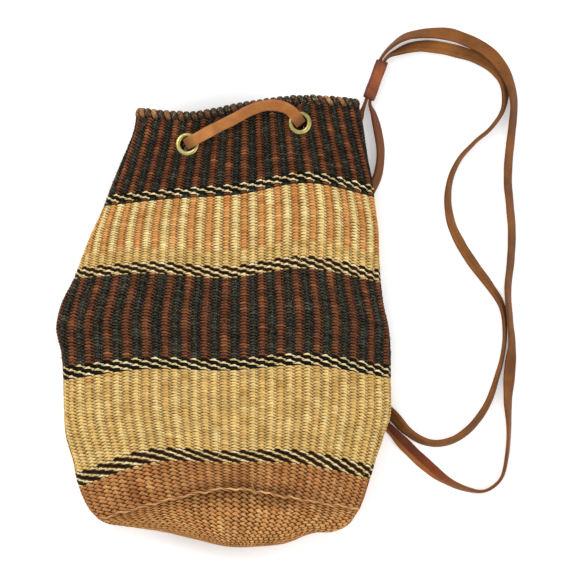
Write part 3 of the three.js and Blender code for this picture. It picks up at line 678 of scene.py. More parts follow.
class Finish:
    """One material: a Principled shader, constants on its own sockets, and nodes for what varies."""

    def __init__(self, name, **constants):
        self.material = bpy.data.materials.new(name)
        self.material.use_nodes = True
        self.tree = self.material.node_tree
        self.shader = next(n for n in self.tree.nodes if n.type == "BSDF_PRINCIPLED")
        for socket, value in constants.items():
            self.shader.inputs[socket.replace("_", " ")].default_value = value

    def node(self, kind, settings=None, inputs=None, out=0):
        """Adds a node, sets its settings first and its inputs after, and returns one of its outputs."""
        made = self.tree.nodes.new("ShaderNode" + kind)
        for key, value in (settings or {}).items():
            setattr(made, key, value)
        for key, value in (inputs or {}).items():
            if isinstance(value, Num):
                self.tree.links.new(value.socket, made.inputs[key])
            else:
                made.inputs[key].default_value = value
        return Num(self, made.outputs[out])

    def math(self, kind, *values):
        return self.node("Math", {"operation": kind}, dict(enumerate(values)))

    def vector(self, x=0.0, y=0.0, z=0.0):
        return self.node("CombineXYZ", None, {0: x, 1: y, 2: z})

    def split(self, vector):
        """The three numbers of a vector."""
        first = self.node("SeparateXYZ", None, {0: vector})
        return [Num(self, socket) for socket in first.socket.node.outputs]

    def uv(self):
        """The piece's own two coordinates."""
        return self.split(self.node("UVMap", {"uv_map": "weave"}))[:2]

    def spot(self):
        """The place in the object's own coordinates."""
        return self.node("TexCoord", out=OBJECT_OUTPUT)

    def noise(self, vector, scale, detail=2.0, roughness=0.5, stretch=(1, 1, 1)):
        """Cloudy values about 0.5, drawn out along an axis by a small stretch there."""
        if stretch != (1, 1, 1):
            vector = self.node("VectorMath", {"operation": "MULTIPLY"}, {0: vector, 1: stretch})
        return self.node("TexNoise", None, {
            "Vector": vector, "Scale": scale, "Detail": detail, "Roughness": roughness,
        })

    def dice(self, a, b, seed=0.0):
        """One even number from 0 to 1 for each pair of whole numbers."""
        return self.node("TexWhiteNoise", {"noise_dimensions": "3D"}, {0: self.vector(a, b, seed)})

    def mix(self, factor, first, second):
        """From the first colour at 0 to the second at 1."""
        return self.node("Mix", {"data_type": "RGBA"}, {0: factor, 6: first, 7: second}, out=2)

    def tones(self, share, pair, low=0.3, high=0.7):
        """From the first to the second paint of a pair as share goes from low to high."""
        return self.mix(share.smooth(low, high), *paints(pair))

    def dim(self, colour, factor):
        """A colour made darker or lighter by a number."""
        return self.node("VectorMath", {"operation": "SCALE"}, {0: colour, 3: factor})

    def bump(self, height, distance, strength=1.0):
        return self.node("Bump", None, {"Height": height, "Distance": distance, "Strength": strength})

    def set(self, **links):
        """Joins varying values to the shader's sockets and returns the material."""
        for socket, value in links.items():
            self.tree.links.new(value.socket, self.shader.inputs[socket.replace("_", " ")])
        return self.material


# Straw materials


# painted glints of light off the fibres of the dark ribs
FLECK_GLINT = (134, 122, 98)
LINE_CREAM = [(246, 228, 178), (222, 194, 132)]
LINE_BLACK = [(16, 16, 11), (34, 31, 23)]
# painted shade at the edges of the cream line stitches
LINE_EDGE_SHADE = (34, 28, 18)


def straw_finish(name, even, odd, gap, line=None, late=None, base=False, glint_flecks=0.0, heavy=0.0,
                 gap_reach=0.8, shadow=0.38, shaded=False, crest=0.36, contrast=1.0):
    """Twined straw by its stitches. u counts ribs and v rows; the edge between two ribs winds to and
    fro once a row, and whole w = v - slant x (place across the rib) + arch gives the stitch.

    even and odd ribs take three colours each, dealt out by stitch, and late ones from a row on. gap
    is the colour between stitches, painted shade in the hollows there; gap_reach is how far it spreads,
    and crest how little of it the top of a rib shows. A line of a few rows takes cream and black
    stitches by turns; the cream ones carry painted shade at their edges, over more of each stitch where
    heavy."""
    f = Finish(name, Specular_IOR_Level=0.05)
    u, v = f.uv()
    wander = f.noise(f.vector(u * 0.35, v * 0.16), 1.0, 2.0)
    wobble = f.noise(f.vector(u * 0.8, v * 0.5, 3.0), 1.0, 2.0) - 0.5
    wound = u + ZIGZAG * (v * (2 * math.pi)).op("SINE") + wobble * 0.22
    rib = wound.floor()
    across = wound - rib
    odd_rib = rib % 2.0
    slant = SLANT_BASE if base else SLANT_LIGHT + (SLANT_DARK - SLANT_LIGHT) * odd_rib
    if line is not None:
        tall = LINES[line]
        in_line = (v > line - 0.5) * (v < line + tall + 0.5)
        slant = slant * (1 - in_line) + in_line * SLANT_LINE
    hump = (across * (1 - across) * 4.0).clip()
    arch = ARCH[0] + (ARCH[1] - ARCH[0]) * v.smooth(*ARCH_ROWS)
    w = v - slant * (across - 0.5) + arch * (hump - 0.5) + wobble * 0.3
    row = w.floor()
    chance = f.dice(rib, row, 3.7)
    drift = f.noise(f.vector(rib * 1.7, v * 0.13), 1.3, 1.0)
    blend = chance * 0.35 + drift * 0.65

    def three(colours):
        low, middle, high = paints(colours)
        first = f.mix(blend.smooth(0.1, 0.5), low, middle)
        return f.mix(blend.smooth(0.5, 0.85), first, high)

    colour = f.mix(odd_rib, three(even), three(odd))
    if late is not None:
        start, colours = late
        colour = f.mix((v + wander * 2.0).smooth(start, start + 1.2), colour, three(colours))
    edge = (w - row).to_edge()
    # light flecks on the dark ribs: painted glints of light off the fibres
    if glint_flecks:
        spark = f.noise(f.vector(across * 3.0 + rib * 5.3, w * 5.0, chance * 30), 2.0, 2.0, 0.7)
        colour = f.mix(spark.smooth(0.54, 0.66) * glint_flecks, colour, paint(*FLECK_GLINT))
    if line is not None:
        cream = f.mix(chance, *paints(LINE_CREAM))
        # painted shade at the edges of the cream stitches, over more of each stitch where heavy
        cream = f.mix(edge.smooth(0.15 + heavy, 0.5 + heavy), paint(*LINE_EDGE_SHADE), cream)
        stitches = f.mix((rib + row) % 2.0, cream, f.mix(chance, *paints(LINE_BLACK)))
        colour = f.mix((w > line) * (w < line + tall), colour, stitches)
    # fibres run along each stitch
    strands = f.noise(f.vector(across * 1.6 + rib * 7.3, w * 7.0, chance * 20), 2.2, 3.0, 0.65)
    fine = f.noise(f.vector(across * 3.0 + rib * 3.1, w * 24.0, chance * 9), 2.0, 2.0, 0.6)
    tone = 0.08 + 0.84 * strands + 0.64 * fine
    # painted shade on the weave in the hollow by the fold over the foot
    if shaded:
        near = 1 - (v - SHADED_ROW).size().smooth(0.5, 4.5)
        middle = 1 - (u - SHADED_RIB).size().smooth(3.0, 11.0)
        tone = tone * (1 - (0.1 + 0.38 * middle) * near)
    grit = f.noise(f.vector(u * 1.7, v * 0.9), 1.6, 3.0, 0.75)
    patches = (0.7 + 0.6 * wander) * (1 - contrast / 2 + contrast * grit)
    colour = f.dim(colour, tone * patches)
    # painted shade: in the gaps between stitches, widest in the valleys, and down each valley between ribs
    ridge = hump ** 0.5
    gape = gap_reach * (0.5 + 0.8 * f.dice(rib, (w + 0.5).floor(), 6.3)) * (1.6 - 1.05 * hump)
    closeness = 1 - (1 - (edge / gape).smooth(0.0, 1.0)) * (1.0 - crest * hump)
    closeness = closeness * (0.5 + 0.5 * ridge.smooth(0.0, 0.6))
    colour = f.mix(closeness.smooth(0.0, 0.9), f.mix(odd_rib, *paints(gap)), colour)
    colour = f.dim(colour, 1 - shadow * (1 - ridge.smooth(0.1, 0.8)))
    height = strands * 0.6 + fine * 0.3 + edge * 0.5 * ridge
    return f.set(Base_Color=colour, Roughness=0.65 + 0.25 * strands, Normal=f.bump(height, 0.0008, 0.7))


DARK_EVEN = [(68, 33, 18), (110, 58, 32), (158, 94, 54)]
DARK_ODD = [(15, 17, 14), (33, 36, 31), (68, 72, 63)]
CREAM_EVEN = [(190, 120, 58), (220, 154, 86), (240, 190, 120)]
CREAM_ODD = [(222, 184, 112), (242, 212, 142), (254, 236, 172)]
GOLD = [(206, 162, 90), (228, 190, 116), (246, 216, 146)]
STRAW_EVEN = [(196, 148, 80), (222, 182, 108), (242, 212, 142)]
STRAW_ODD = [(212, 170, 96), (234, 198, 124), (246, 218, 150)]
# the base's tans made darker for the foot: painted shade on the steep foot above the fold
FOOT_TAN_SHADED = [(164, 100, 54), (192, 132, 78), (216, 162, 102)]
BASE_TAN = [(184, 116, 60), (211, 150, 88), (232, 180, 116)]
# colours between stitches: painted shade in the hollows of the weave
DARK_GAP_SHADE = [(30, 14, 8), (8, 8, 6)]
STRAW_GAP_SHADE = [(84, 44, 12), (88, 52, 16)]
BASE_GAP_SHADE = [(58, 25, 7), (64, 29, 9)]

DARK = dict(even=DARK_EVEN, odd=DARK_ODD, gap=DARK_GAP_SHADE)
DARK_WALL = dict(DARK, gap_reach=0.9, shadow=0.7, crest=0.05, contrast=1.9)
PALE_WALL = dict(gap=STRAW_GAP_SHADE, gap_reach=0.88, contrast=1.6)
TAN_FOOT = dict(gap=BASE_GAP_SHADE, base=True, shaded=True, crest=0.3, contrast=1.7)

BANDS = [
    # name, first row, last row, finish settings
    ("weave_top", 0, 30, dict(DARK_WALL, line=26, glint_flecks=0.6)),
    ("weave_cream", 30, 59, dict(PALE_WALL, even=CREAM_EVEN, odd=CREAM_ODD, line=55, late=(50, GOLD))),
    ("weave_middle", 59, 91, dict(DARK_WALL, line=87, glint_flecks=1.0)),
    ("weave_straw", 91, FOOT_ROW, dict(
        PALE_WALL, even=STRAW_EVEN, odd=STRAW_ODD, line=119, heavy=0.07, shadow=0.3,
    )),
    ("weave_foot", FOOT_ROW, ROWS, dict(TAN_FOOT, even=FOOT_TAN_SHADED, odd=FOOT_TAN_SHADED, gap_reach=0.9, shadow=0.65)),
]
BASE_SETTINGS = dict(TAN_FOOT, even=BASE_TAN, odd=BASE_TAN, gap_reach=1.1, shadow=0.74)

# Woven wall


def stitch_slant(rib, v):
    """Rows that a stitch drops across its rib: light, dark and line stitches differ."""
    in_line = np.zeros_like(v, bool)
    for line, tall in LINES.items():
        in_line |= (v > line - 0.5) & (v < line + tall + 0.5)
    slant = np.where(rib % 2 == 0, SLANT_LIGHT, SLANT_DARK)
    return np.where(in_line, SLANT_LINE, np.where(v > FOOT_ROW, SLANT_BASE, slant))


def weave_relief(u, v):
    """Height of the weaving: ribs as round ridges whose valleys wind to and fro once a row, and on
    each rib a row of leaning stitches, each a rounded step a little higher or lower than the next."""
    wound = u + ZIGZAG * np.sin(2 * np.pi * v)
    rib = np.floor(wound)
    across = wound - rib
    ridge = np.sqrt(np.clip(4 * across * (1 - across), 0, 1))
    arch = ARCH[0] + (ARCH[1] - ARCH[0]) * smooth((v - ARCH_ROWS[0]) / (ARCH_ROWS[1] - ARCH_ROWS[0]))
    w = v - stitch_slant(rib, v) * (across - 0.5) + arch * (ridge ** 2 - 0.5)
    row = np.floor(w)
    place = w - row
    crown = np.clip(4 * place * (1 - place), 0, 1) ** 0.6
    jitter = dice(rib, row) - 0.5
    return RIB_RISE * (ridge - 0.75) + STITCH_RISE * (crown - 0.5) * ridge + 0.3 * jitter * ridge * crown


def rib_count(share):
    """Ribs passed at a share of the way round, with the middle of the front on a whole number."""
    return RIBS * (0.25 - share) + 0.5 + 2 * RIBS


def from_axis(points, spot, normal):
    """Each point's distance from an eyelet's axis, and its place along it."""
    off = points - spot
    axial = off @ normal
    return np.linalg.norm(off - axial[..., None] * normal, axis=-1), axial


COLUMNS = RIBS * RIB_FACETS
shares = np.arange(COLUMNS) / COLUMNS
warps = np.arange(ROWS * ROW_FACETS + 1) / (ROWS * ROW_FACETS)
reaches = 1 - np.arange(1, BASE_ROWS * BASE_FACETS) / (BASE_ROWS * BASE_FACETS)
body = skin(shares, warps, reaches)
body_normals = normals_of(body)

ribs = rib_count(shares)[None, :]
base_relief = weave_relief(ribs, (ROWS + (1 - reaches) * BASE_ROWS)[:, None])
relief = np.concatenate([
    weave_relief(ribs, (warps * ROWS)[:, None]),
    base_relief * (reaches ** BASE_FADE)[:, None] * BASE_SWELL,
])
# the weaving lies flat next to the eyelets
calm = np.ones_like(relief)
for spot, normal in eyelets.values():
    radial, axial = from_axis(body, spot, normal)
    nearness = np.minimum(calm, smooth((radial - CALM_START) / CALM_WIDTH))
    calm = np.where(np.abs(axial) < EYELET_DEPTH, nearness, calm)
woven = body + body_normals * (relief * calm)[..., None]
woven[..., 2] = np.maximum(woven[..., 2], LOWEST)


def clear_of_eyelets(points, quads):
    """Marks the faces whose middle is not in an eyelet's hole."""
    middle = points.reshape(-1, 3)[quads].mean(1)
    keep = np.ones(len(quads), bool)
    for spot, normal in eyelets.values():
        radial, axial = from_axis(middle, spot, normal)
        keep &= ~((radial < EYELET_CUT) & (np.abs(axial) < EYELET_DEPTH))
    return keep


for band_name, first, last, settings in BANDS:
    part = woven[first * ROW_FACETS:last * ROW_FACETS + 1]
    quads, steps = grid_quads(len(part), COLUMNS)
    keep = clear_of_eyelets(part, quads)
    uv = np.stack([rib_count(steps[..., 0] / COLUMNS), steps[..., 1] / ROW_FACETS + first], -1)
    mesh_piece(band_name, "woven_body", part.reshape(-1, 3), quads[keep], uv[keep],
               straw_finish(band_name, **settings))


def base_piece():
    """The base's rows of weaving, closed by a fan of triangles round its centre."""
    part = woven[len(warps) - 1:]
    quads, steps = grid_quads(len(part), COLUMNS)
    uv = np.stack([rib_count(steps[..., 0] / COLUMNS), ROWS + steps[..., 1] / BASE_FACETS], -1)
    centre = base_at(np.array([[np.pi / 2]]), np.array([[1e-4]]))[0]
    points = np.vstack([part.reshape(-1, 3), centre])
    ring = np.arange(COLUMNS)
    last_row = (len(part) - 1) * COLUMNS + ring
    fan = np.stack([last_row, np.roll(last_row, -1), np.full(COLUMNS, len(points) - 1)], 1)
    fan_u = rib_count(ring / COLUMNS)
    fan_u = np.stack([fan_u, fan_u - RIBS / COLUMNS, fan_u], 1)
    fan_uv = np.stack([fan_u, np.full(fan_u.shape, float(ROWS + BASE_ROWS))], -1)
    mesh_piece("weave_base", "woven_body", points, quads,
               np.vstack([uv.reshape(-1, 2), fan_uv.reshape(-1, 2)]),
               straw_finish("weave_base", **BASE_SETTINGS), triangles=fan)


def inside_piece():
    """The inside of the bag: the plain form drawn in by the wall's thickness, with a strip over the
    mouth's edge that joins it to the outside, all in the dark bands' colours as painted shade."""
    columns, base_steps = 222, 14
    shares = np.arange(columns) / columns
    warps = np.linspace(0, 1, RIB_ROWS)
    reaches = 1 - np.arange(1, base_steps) / base_steps
    inner = skin(shares, warps, reaches)
    inner = inner - normals_of(inner) * WALL
    points = np.concatenate([skin(shares, warps[:1], []), inner])
    quads, steps = grid_quads(len(points), columns)
    keep = clear_of_eyelets(points, quads)
    rows = np.concatenate([warps * ROWS, ROWS + (1 - reaches) * 12])
    v = np.interp(steps[..., 1] - 1, np.arange(len(inner)), rows)
    uv = np.stack([rib_count(steps[..., 0] / columns), v], -1)
    # the dark bands' colours all over the inside: painted shade within the bag
    mesh_piece("weave_inside", "woven_body", points.reshape(-1, 3), quads[keep][:, ::-1],
               uv[keep][:, ::-1], straw_finish("weave_inside", **DARK))


base_piece()
inside_piece()

# Stray fibres


def fibre_piece(name, count, first, last, colour, seed):
    """Short loose fibres that stand off the weaving: each starts at a place dealt out over the rows
    from first to last, runs along the surface and curls away from it as a thin three-sided tube,
    spot(t) = start + length x (t along + curl t squared outward), thinner at its end."""
    steps, sides = 6, 3
    number = np.arange(count) + seed * 1000.0
    deal = [dice(number, 11.0 * k + seed) for k in range(6)]
    column = (deal[0] * COLUMNS).astype(int) % COLUMNS
    row = ((first + deal[1] * (last - first)) * ROW_FACETS).astype(int)
    start, outward = woven[row, column], body_normals[row, column]
    lengthways = unit(woven[row + 3, column] - woven[row - 3, column])
    turn = deal[2] * 2 * np.pi
    along = np.cross(outward, lengthways) * np.cos(turn)[:, None] + lengthways * np.sin(turn)[:, None]
    bend = np.cross(outward, along) * (deal[3] - 0.5)[:, None] * 1.6
    t = np.linspace(0, 1, steps)[None, :, None]
    size = (2.5 + 5.5 * deal[4] ** 2)[:, None, None]
    lift = (0.15 + 0.45 * deal[5])[:, None, None]
    line = start[:, None] - outward[:, None] * 0.3 + size * (
        along[:, None] * t + bend[:, None] * t ** 2 + outward[:, None] * lift * t * (1.6 - t)
    )
    angle = np.arange(sides) * 2 * np.pi / sides
    up = outward[:, None] * np.cos(angle)[None, :, None]
    ring = up + np.cross(along, outward)[:, None] * np.sin(angle)[None, :, None]
    points = line[:, :, None, :] + ring[:, None] * (0.2 * (1 - 0.6 * t))[..., None]
    points[..., 2] = np.maximum(points[..., 2], LOWEST)
    quads, _ = grid_quads(steps, sides)
    quads = (quads[None] + (np.arange(count) * steps * sides)[:, None, None]).reshape(-1, 4)
    tip = np.arange(count)[:, None] * steps * sides
    ends = np.concatenate([tip + [2, 1, 0], tip + (steps - 1) * sides + [0, 1, 2]])
    f = Finish(name + "_straw", Specular_IOR_Level=0.1, Roughness=0.7)
    finish = f.set(Base_Color=f.tones(f.noise(f.spot(), 400.0, 2.0, 0.6), colour))
    mesh_piece(name, "woven_body", points.reshape(-1, 3), quads, None, finish, triangles=ends)


DARK_FIBRE = [(46, 40, 32), (142, 120, 92)]
for fibre_row in (
    # name, number of fibres, first row, last row, colours, seed
    ("fibres_top", 260, 1, 29, DARK_FIBRE, 1),
    ("fibres_middle", 260, 59, 90, DARK_FIBRE, 2),
    ("fibres_cream", 90, 31, 58, [(214, 170, 100), (246, 222, 162)], 3),
    ("fibres_straw", 170, 92, 130, [(206, 156, 90), (242, 214, 150)], 4),
):
    fibre_piece(*fibre_row)

# Foot ridge


RIDGE_STRAW = [(180, 124, 72), (222, 170, 108)]
RIDGE_GAP_SHADE = (96, 50, 20)


def ridge_finish():
    """Two light strands wound round each other: a strand takes its tone by its number, with fibres
    along it and a dark line of painted shade between."""
    f = Finish("ridge_straw", Roughness=0.7, Specular_IOR_Level=0.3)
    u, v = f.uv()
    strand = u.floor()
    place = u - strand
    colour = f.mix(f.dice(strand, 1.0, 2.2), *paints(RIDGE_STRAW))
    fibres = f.noise(f.vector(place * 6.0 + strand * 3.0, v * 4.0), 2.0, 3.0, 0.6)
    lit = f.dim(colour, 0.55 + 0.6 * fibres)
    # painted shade in the groove between the strands
    colour = f.mix(place.to_edge().smooth(0.0, 0.5), paint(*RIDGE_GAP_SHADE), lit)
    return f.set(Base_Color=colour, Normal=f.bump(fibres, 0.0005, 0.6))


def foot_ridge():
    """A thin rope round the last row of the wall, where the base begins: a round section that swells
    with two strands, turning once every four ribs, and wanders a little up and down. It sinks into
    the folds, where the surface turns on edge."""
    around, section, radius = RIBS * 12, 12, 1.15
    shares = np.arange(around) / around
    rows = skin(shares, np.array([0.985, 1.0]), np.array([0.97]))
    outward = normals_of(rows)[1]
    side = unit(np.cross(outward, np.roll(rows[1], -1, 0) - np.roll(rows[1], 1, 0)))
    flat = smooth(np.abs(outward[:, 2]) * 1.6)[:, None]
    turns = shares[:, None] * 2 * np.pi
    wander = 0.6 * np.sin(turns * 23) + 0.4 * np.sin(turns * 57 + 1.0)
    centre = rows[1] + outward * (0.1 + 0.5 * flat) + side * wander * flat
    angle = np.linspace(0, 2 * np.pi, section, endpoint=False)
    lap = shares[:, None] * RIBS / 2 + angle[None, :] / (2 * np.pi) * 2
    part = lap - np.floor(lap)
    size = radius * (0.45 + 0.55 * flat) * (0.72 + 0.3 * np.sqrt(np.clip(4 * part * (1 - part), 0, 1)))
    points = tube(centre, outward, side, size * np.cos(angle), size * np.sin(angle))
    points[..., 2] = np.maximum(points[..., 2], LOWEST)
    quads, steps = grid_quads(around, section, looped=True)
    turn, lapped = steps[..., 1] / around * RIBS, steps[..., 0] / section * 2
    uv = np.stack([turn / 2 + lapped + RIBS, turn], -1)
    mesh_piece("foot_ridge", "woven_body", points.reshape(-1, 3), quads[:, ::-1], uv[:, ::-1],
               ridge_finish())


foot_ridge()

# Rim


RIM_TAN = [(150, 100, 60), (206, 156, 98)]
RIM_BROWN = [(70, 40, 24), (122, 76, 48)]
RIM_BLACK = [(22, 23, 20), (58, 56, 46)]


def rim_finish():
    """Whipped straw: each bead takes tan, brown or black by its number, mottled with tan and soot,
    with painted shade where beads meet and under the edge, and fibres along each strand."""
    f = Finish("rim_straw", Roughness=0.75, Specular_IOR_Level=0.18)
    u, v = f.uv()
    bead = u.floor()
    place = u - bead
    warm = f.mix(f.dice(bead, 2.0, 1.0), *paints(RIM_TAN))
    brown = f.mix(f.dice(bead, 3.0, 1.0), *paints(RIM_BROWN))
    dark = f.mix(f.dice(bead, 4.0, 1.0), *paints(RIM_BLACK))
    chance = f.dice(bead, 2.0, 5.1)
    colour = f.mix(chance > 0.5, dark, f.mix(chance > 0.86, brown, warm))
    mottle = f.noise(f.vector(place * 2.6 + bead * 3.0, v * 1.1), 1.6, 2.0, 0.6)
    colour = f.mix(mottle.smooth(0.5, 0.62) * 0.7, colour, warm)
    soot = f.noise(f.vector(place * 3.4 + bead * 5.0, v * 1.7, 4.0), 1.4, 3.0, 0.7)
    colour = f.mix(soot.smooth(0.46, 0.6) * 0.75, colour, dark)
    strands = f.noise(f.vector(place * 7.0 + bead * 3.0, v * 3.0), 2.0, 3.0, 0.6)
    ridge = (place * (1 - place) * 4.0).clip()
    # painted shade where beads meet
    colour = f.dim(colour, (0.4 + 0.85 * strands) * (0.12 + 0.88 * ridge.smooth(0.05, 0.8)))
    # painted shade on the tube's lower side, under the edge
    colour = f.dim(colour, 0.35 + 0.75 * v.smooth(2.6, 4.4))
    return f.set(Base_Color=colour, Normal=f.bump(strands, 0.0006, 0.7))


def rim_piece():
    """A tube on the wall's top: its section swells into one bead for each rib, and the beads lean
    over the edge, place = ribs round - lean x sin(angle in the section)."""
    around, section, seat = RIBS * 10, 24, 0.9
    shares = np.arange(around) / around
    top = skin(shares, np.array([0.0, 0.02, 0.05]), [])
    outward = normals_of(top)[0]
    up = unit(top[0] - top[2])
    centre = top[0] - outward * WALL / 2 + up * (RIM_TALL / 2 - seat)
    angle = np.linspace(-np.pi, np.pi, section, endpoint=False)
    lap = shares[:, None] * RIBS - RIM_LEAN * np.sin(angle)[None, :]
    bead = np.floor(lap)
    part = lap - bead
    size = 0.62 + 0.48 * np.sqrt(np.clip(4 * part * (1 - part), 0, 1))
    size = size + 0.14 * (dice(bead % RIBS, 7) - 0.5)
    points = tube(centre, outward, up, size * RIM_THICK / 2 * np.cos(angle),
                  size * RIM_TALL / 2 * np.sin(angle))
    quads, steps = grid_quads(around, section, looped=True)
    lean = RIM_LEAN * np.sin(2 * np.pi * steps[..., 0] / section - np.pi)
    u = steps[..., 1] / around * RIBS - lean + RIBS
    uv = np.stack([u, steps[..., 0] / section * 8], -1)
    mesh_piece("rim_beads", "rim_binding", points.reshape(-1, 3), quads, uv, rim_finish())


rim_piece()

# Leather and brass


STRAP_GRAIN = [(94, 54, 19), (126, 76, 31)]
STRAP_SUEDE = [(104, 62, 26), (132, 82, 36)]
BRIDGE_SUEDE = [(150, 92, 46), (178, 118, 64)]
FRESH_GRAIN = [(84, 36, 14), (112, 52, 22)]
FRESH_EDGE = (140, 82, 38)
TAIL_RED = (98, 48, 22)
KEEPER_GRAIN = [(104, 47, 16), (146, 74, 28)]
BRASS = [(176, 164, 104), (136, 128, 76)]
# where the fresh stretch ends, cm along the strap; where the red tail lies, m to the right and up
FRESH_END = (15.0, 19.0)
TAIL_RIGHT = (0.135, 0.142)
TAIL_FAR = (0.1, 0.13)


def strap_finish():
    """Strap leather by its two sides: a smooth grain side where v is within a quarter of a half, a
    napped side on the rest, cut edges darker, with clouds, pores and a short nap. Its first stretch
    is dark with a lighter edge, the bridge between the eyelets is pale with painted shade at its
    ends where it goes into the eyelets, and the tail below the keeper is redder."""
    f = Finish("strap_leather", Specular_IOR_Level=0.2)
    u, v = f.uv()
    spot = f.spot()
    right, far, _ = f.split(spot)
    cloud = f.noise(spot, 30.0, 3.0, 0.6)
    patch = f.noise(spot, 190.0, 2.0, 0.6)
    pores = f.noise(spot, 900.0, 3.0, 0.7)
    side = (v - 0.5).size().smooth(0.23, 0.27)
    fresh = f.mix(v.smooth(0.508, 0.53), f.tones(cloud, FRESH_GRAIN), paint(*FRESH_EDGE))
    grain = f.mix(1 - u.smooth(*FRESH_END), f.tones(cloud, STRAP_GRAIN), fresh)
    colour = f.mix(side, grain, f.tones(cloud, STRAP_SUEDE))
    tail = (1 - right.smooth(*TAIL_RIGHT)) * far.smooth(*TAIL_FAR)
    colour = f.mix(tail * cloud.smooth(0.35, 0.65), colour, paint(*TAIL_RED))
    start, end = BRIDGE_SPAN
    bridge = u.smooth(start - 1, start) * (1 - u.smooth(end, end + 1))
    colour = f.mix(bridge, colour, f.tones(cloud, BRIDGE_SUEDE))
    # painted shade where the bridge goes into the eyelets
    for place in BRIDGE_SPAN:
        colour = f.dim(colour, 0.45 + 0.55 * (u - place).size().smooth(0.1, 1.1))
    rim = ((v * 2.0) % 1.0 - 0.5).size()
    colour = f.dim(colour, (0.78 + 0.22 * rim.smooth(0.02, 0.1)) * (0.56 + 0.56 * pores + 0.32 * patch))
    relief = f.bump(pores * 0.4 + patch * 0.35, 0.0004, 0.4)
    return f.set(Base_Color=colour, Roughness=0.55 + 0.2 * cloud + 0.1 * side, Normal=relief)


def strap_piece():
    """The strap: a flat section with round edges carried along the route, its width axis turning
    with the lean, and a fan of triangles over each end."""
    count, wide_power, flat_power = 20, 0.38, 0.3
    angle = np.linspace(0, 2 * np.pi, count, endpoint=False)
    wide = squared(np.cos(angle), wide_power) * STRAP_WIDTH / 2
    flat = squared(np.sin(angle), flat_power) * STRAP_THICK / 2
    rough = 1 + 0.02 * np.sin(places[:, None] * 0.31 + 3 * np.cos(angle)[None, :])
    points = tube(strap_line, strap_wide, strap_flat, wide[None, :] * strap_pinch[:, None] * rough,
                  flat[None, :] * rough * 0.94)
    quads, steps = grid_quads(len(points), count)
    # the seam itself stays at 1, so a full turn is taken a hair over
    v = (steps[..., 0] / count + 0.25) % 1.0001
    uv = np.stack([places[steps[..., 1]] * UV_PER_MM, v], -1)
    tail = len(points) * count
    points = np.vstack([points.reshape(-1, 3), strap_line[:1], strap_line[-1:]])
    ring = np.arange(count)
    after, end = np.roll(ring, -1), tail - count
    caps = np.vstack([
        np.stack([after, ring, np.full(count, tail)], 1),
        np.stack([end + ring, end + after, np.full(count, tail + 1)], 1),
    ])
    uv = np.vstack([uv.reshape(-1, 2), np.full((caps.size, 2), 0.25)])
    return mesh_piece("strap", "strap_thong", points, quads, uv, strap_finish(),
                      triangles=caps)


def keeper_finish():
    """Smooth orange-brown leather with painted shade towards its ends, on its left side and along the edge
    of its raised overlap.
    """
    f = Finish("keeper_leather", Roughness=0.5, Specular_IOR_Level=0.3)
    u, v = f.uv()
    spot = f.spot()
    cloud = f.noise(spot, 70.0, 3.0, 0.6)
    pores = f.noise(spot, 1200.0, 2.0, 0.6)
    crease = f.noise(f.vector(u * 3.0, v * 0.8), 2.0, 2.0, 0.6)
    # painted shade towards the keeper's ends, on its left side and along the edge of the overlap
    ends = v.op("MINIMUM", 1 - v).smooth(0.0, 0.16) * (v - 0.25 * u).smooth(-0.02, 0.05)
    lap = 1 - (u - 0.335).size().smooth(0.0, 0.012)
    shade = (1 - 0.5 * u.smooth(0.28, 0.44)) * (0.55 + 0.45 * ends)
    colour = f.dim(f.tones(cloud, KEEPER_GRAIN), shade * (0.78 + 0.3 * crease) * (1 - 0.6 * lap))
    height = crease * 0.5 + pores * 0.3
    return f.set(Base_Color=colour, Roughness=0.4 + 0.2 * cloud, Normal=f.bump(height, 0.0006, 0.5))


def keeper_piece():
    """The keeper: one sheet of leather wrapped round both strands. Its section is a rounded rectangle
    whose outer edge swells a little along its middle and steps up where the sheet overlaps; the
    surface runs up the outside and back down the inside."""
    count, rows, power = 64, 18, 0.45
    share = np.arange(count) / count
    angle = share * 2 * np.pi
    along = np.concatenate([np.linspace(0, 1, rows), np.linspace(1, 0, rows)])
    outer = np.concatenate([np.ones(rows), np.zeros(rows)])
    swell = np.sin(np.pi * along) * 0.5 + 0.35 * np.sin(along * 9.0)
    step = 0.55 * smooth((share - 0.33) / 0.012) * (1 - smooth((share - 0.40) / 0.12))
    wide = CLEAR_WIDTH / 2 + outer * (KEEPER_WALL - 0.7 + 0.5 * swell)
    tall = CLEAR_HEIGHT / 2 + outer * (KEEPER_WALL - 0.4)
    lap = outer[:, None] * step[None, :]
    x = squared(np.cos(angle), power)[None, :] * (wide[:, None] + lap)
    z = squared(np.sin(angle), power)[None, :] * (tall[:, None] + lap * 0.6)
    tilt = 1.1 * np.sin(angle + 0.6) * (2 * along[:, None] - 1) * 0.6
    y = (along[:, None] - 0.5) * (KEEPER_LENGTH - 1.4) + tilt
    points = (
        keeper_middle + UP * (KEEPER_WALL + CLEAR_HEIGHT / 2) + keeper_right * x[..., None]
        + keeper_axis * y[..., None] + UP * z[..., None]
    )
    points[..., 2] = np.maximum(points[..., 2], LOWEST)
    quads, steps = grid_quads(len(points), count, looped=True)
    uv = np.stack([steps[..., 0] / count, np.append(along, along[0])[steps[..., 1]]], -1)
    return mesh_piece("keeper_wrap", "strap_keeper", points.reshape(-1, 3),
                      quads[:, ::-1], uv[:, ::-1], keeper_finish())


def anchor_finish():
    """Plain strap leather with pores, for the hidden tab."""
    f = Finish("anchor_leather", Roughness=0.6)
    spot = f.spot()
    pores = f.noise(spot, 1100.0, 2.0, 0.6)
    colour = f.tones(f.noise(spot, 60.0, 3.0, 0.6), STRAP_GRAIN)
    return f.set(Base_Color=colour, Normal=f.bump(pores, 0.0004, 0.5))


strap = strap_piece()
keeper = keeper_piece()
anchor_leather = anchor_finish()
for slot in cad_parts["strap_anchor"].material_slots:
    slot.material = anchor_leather

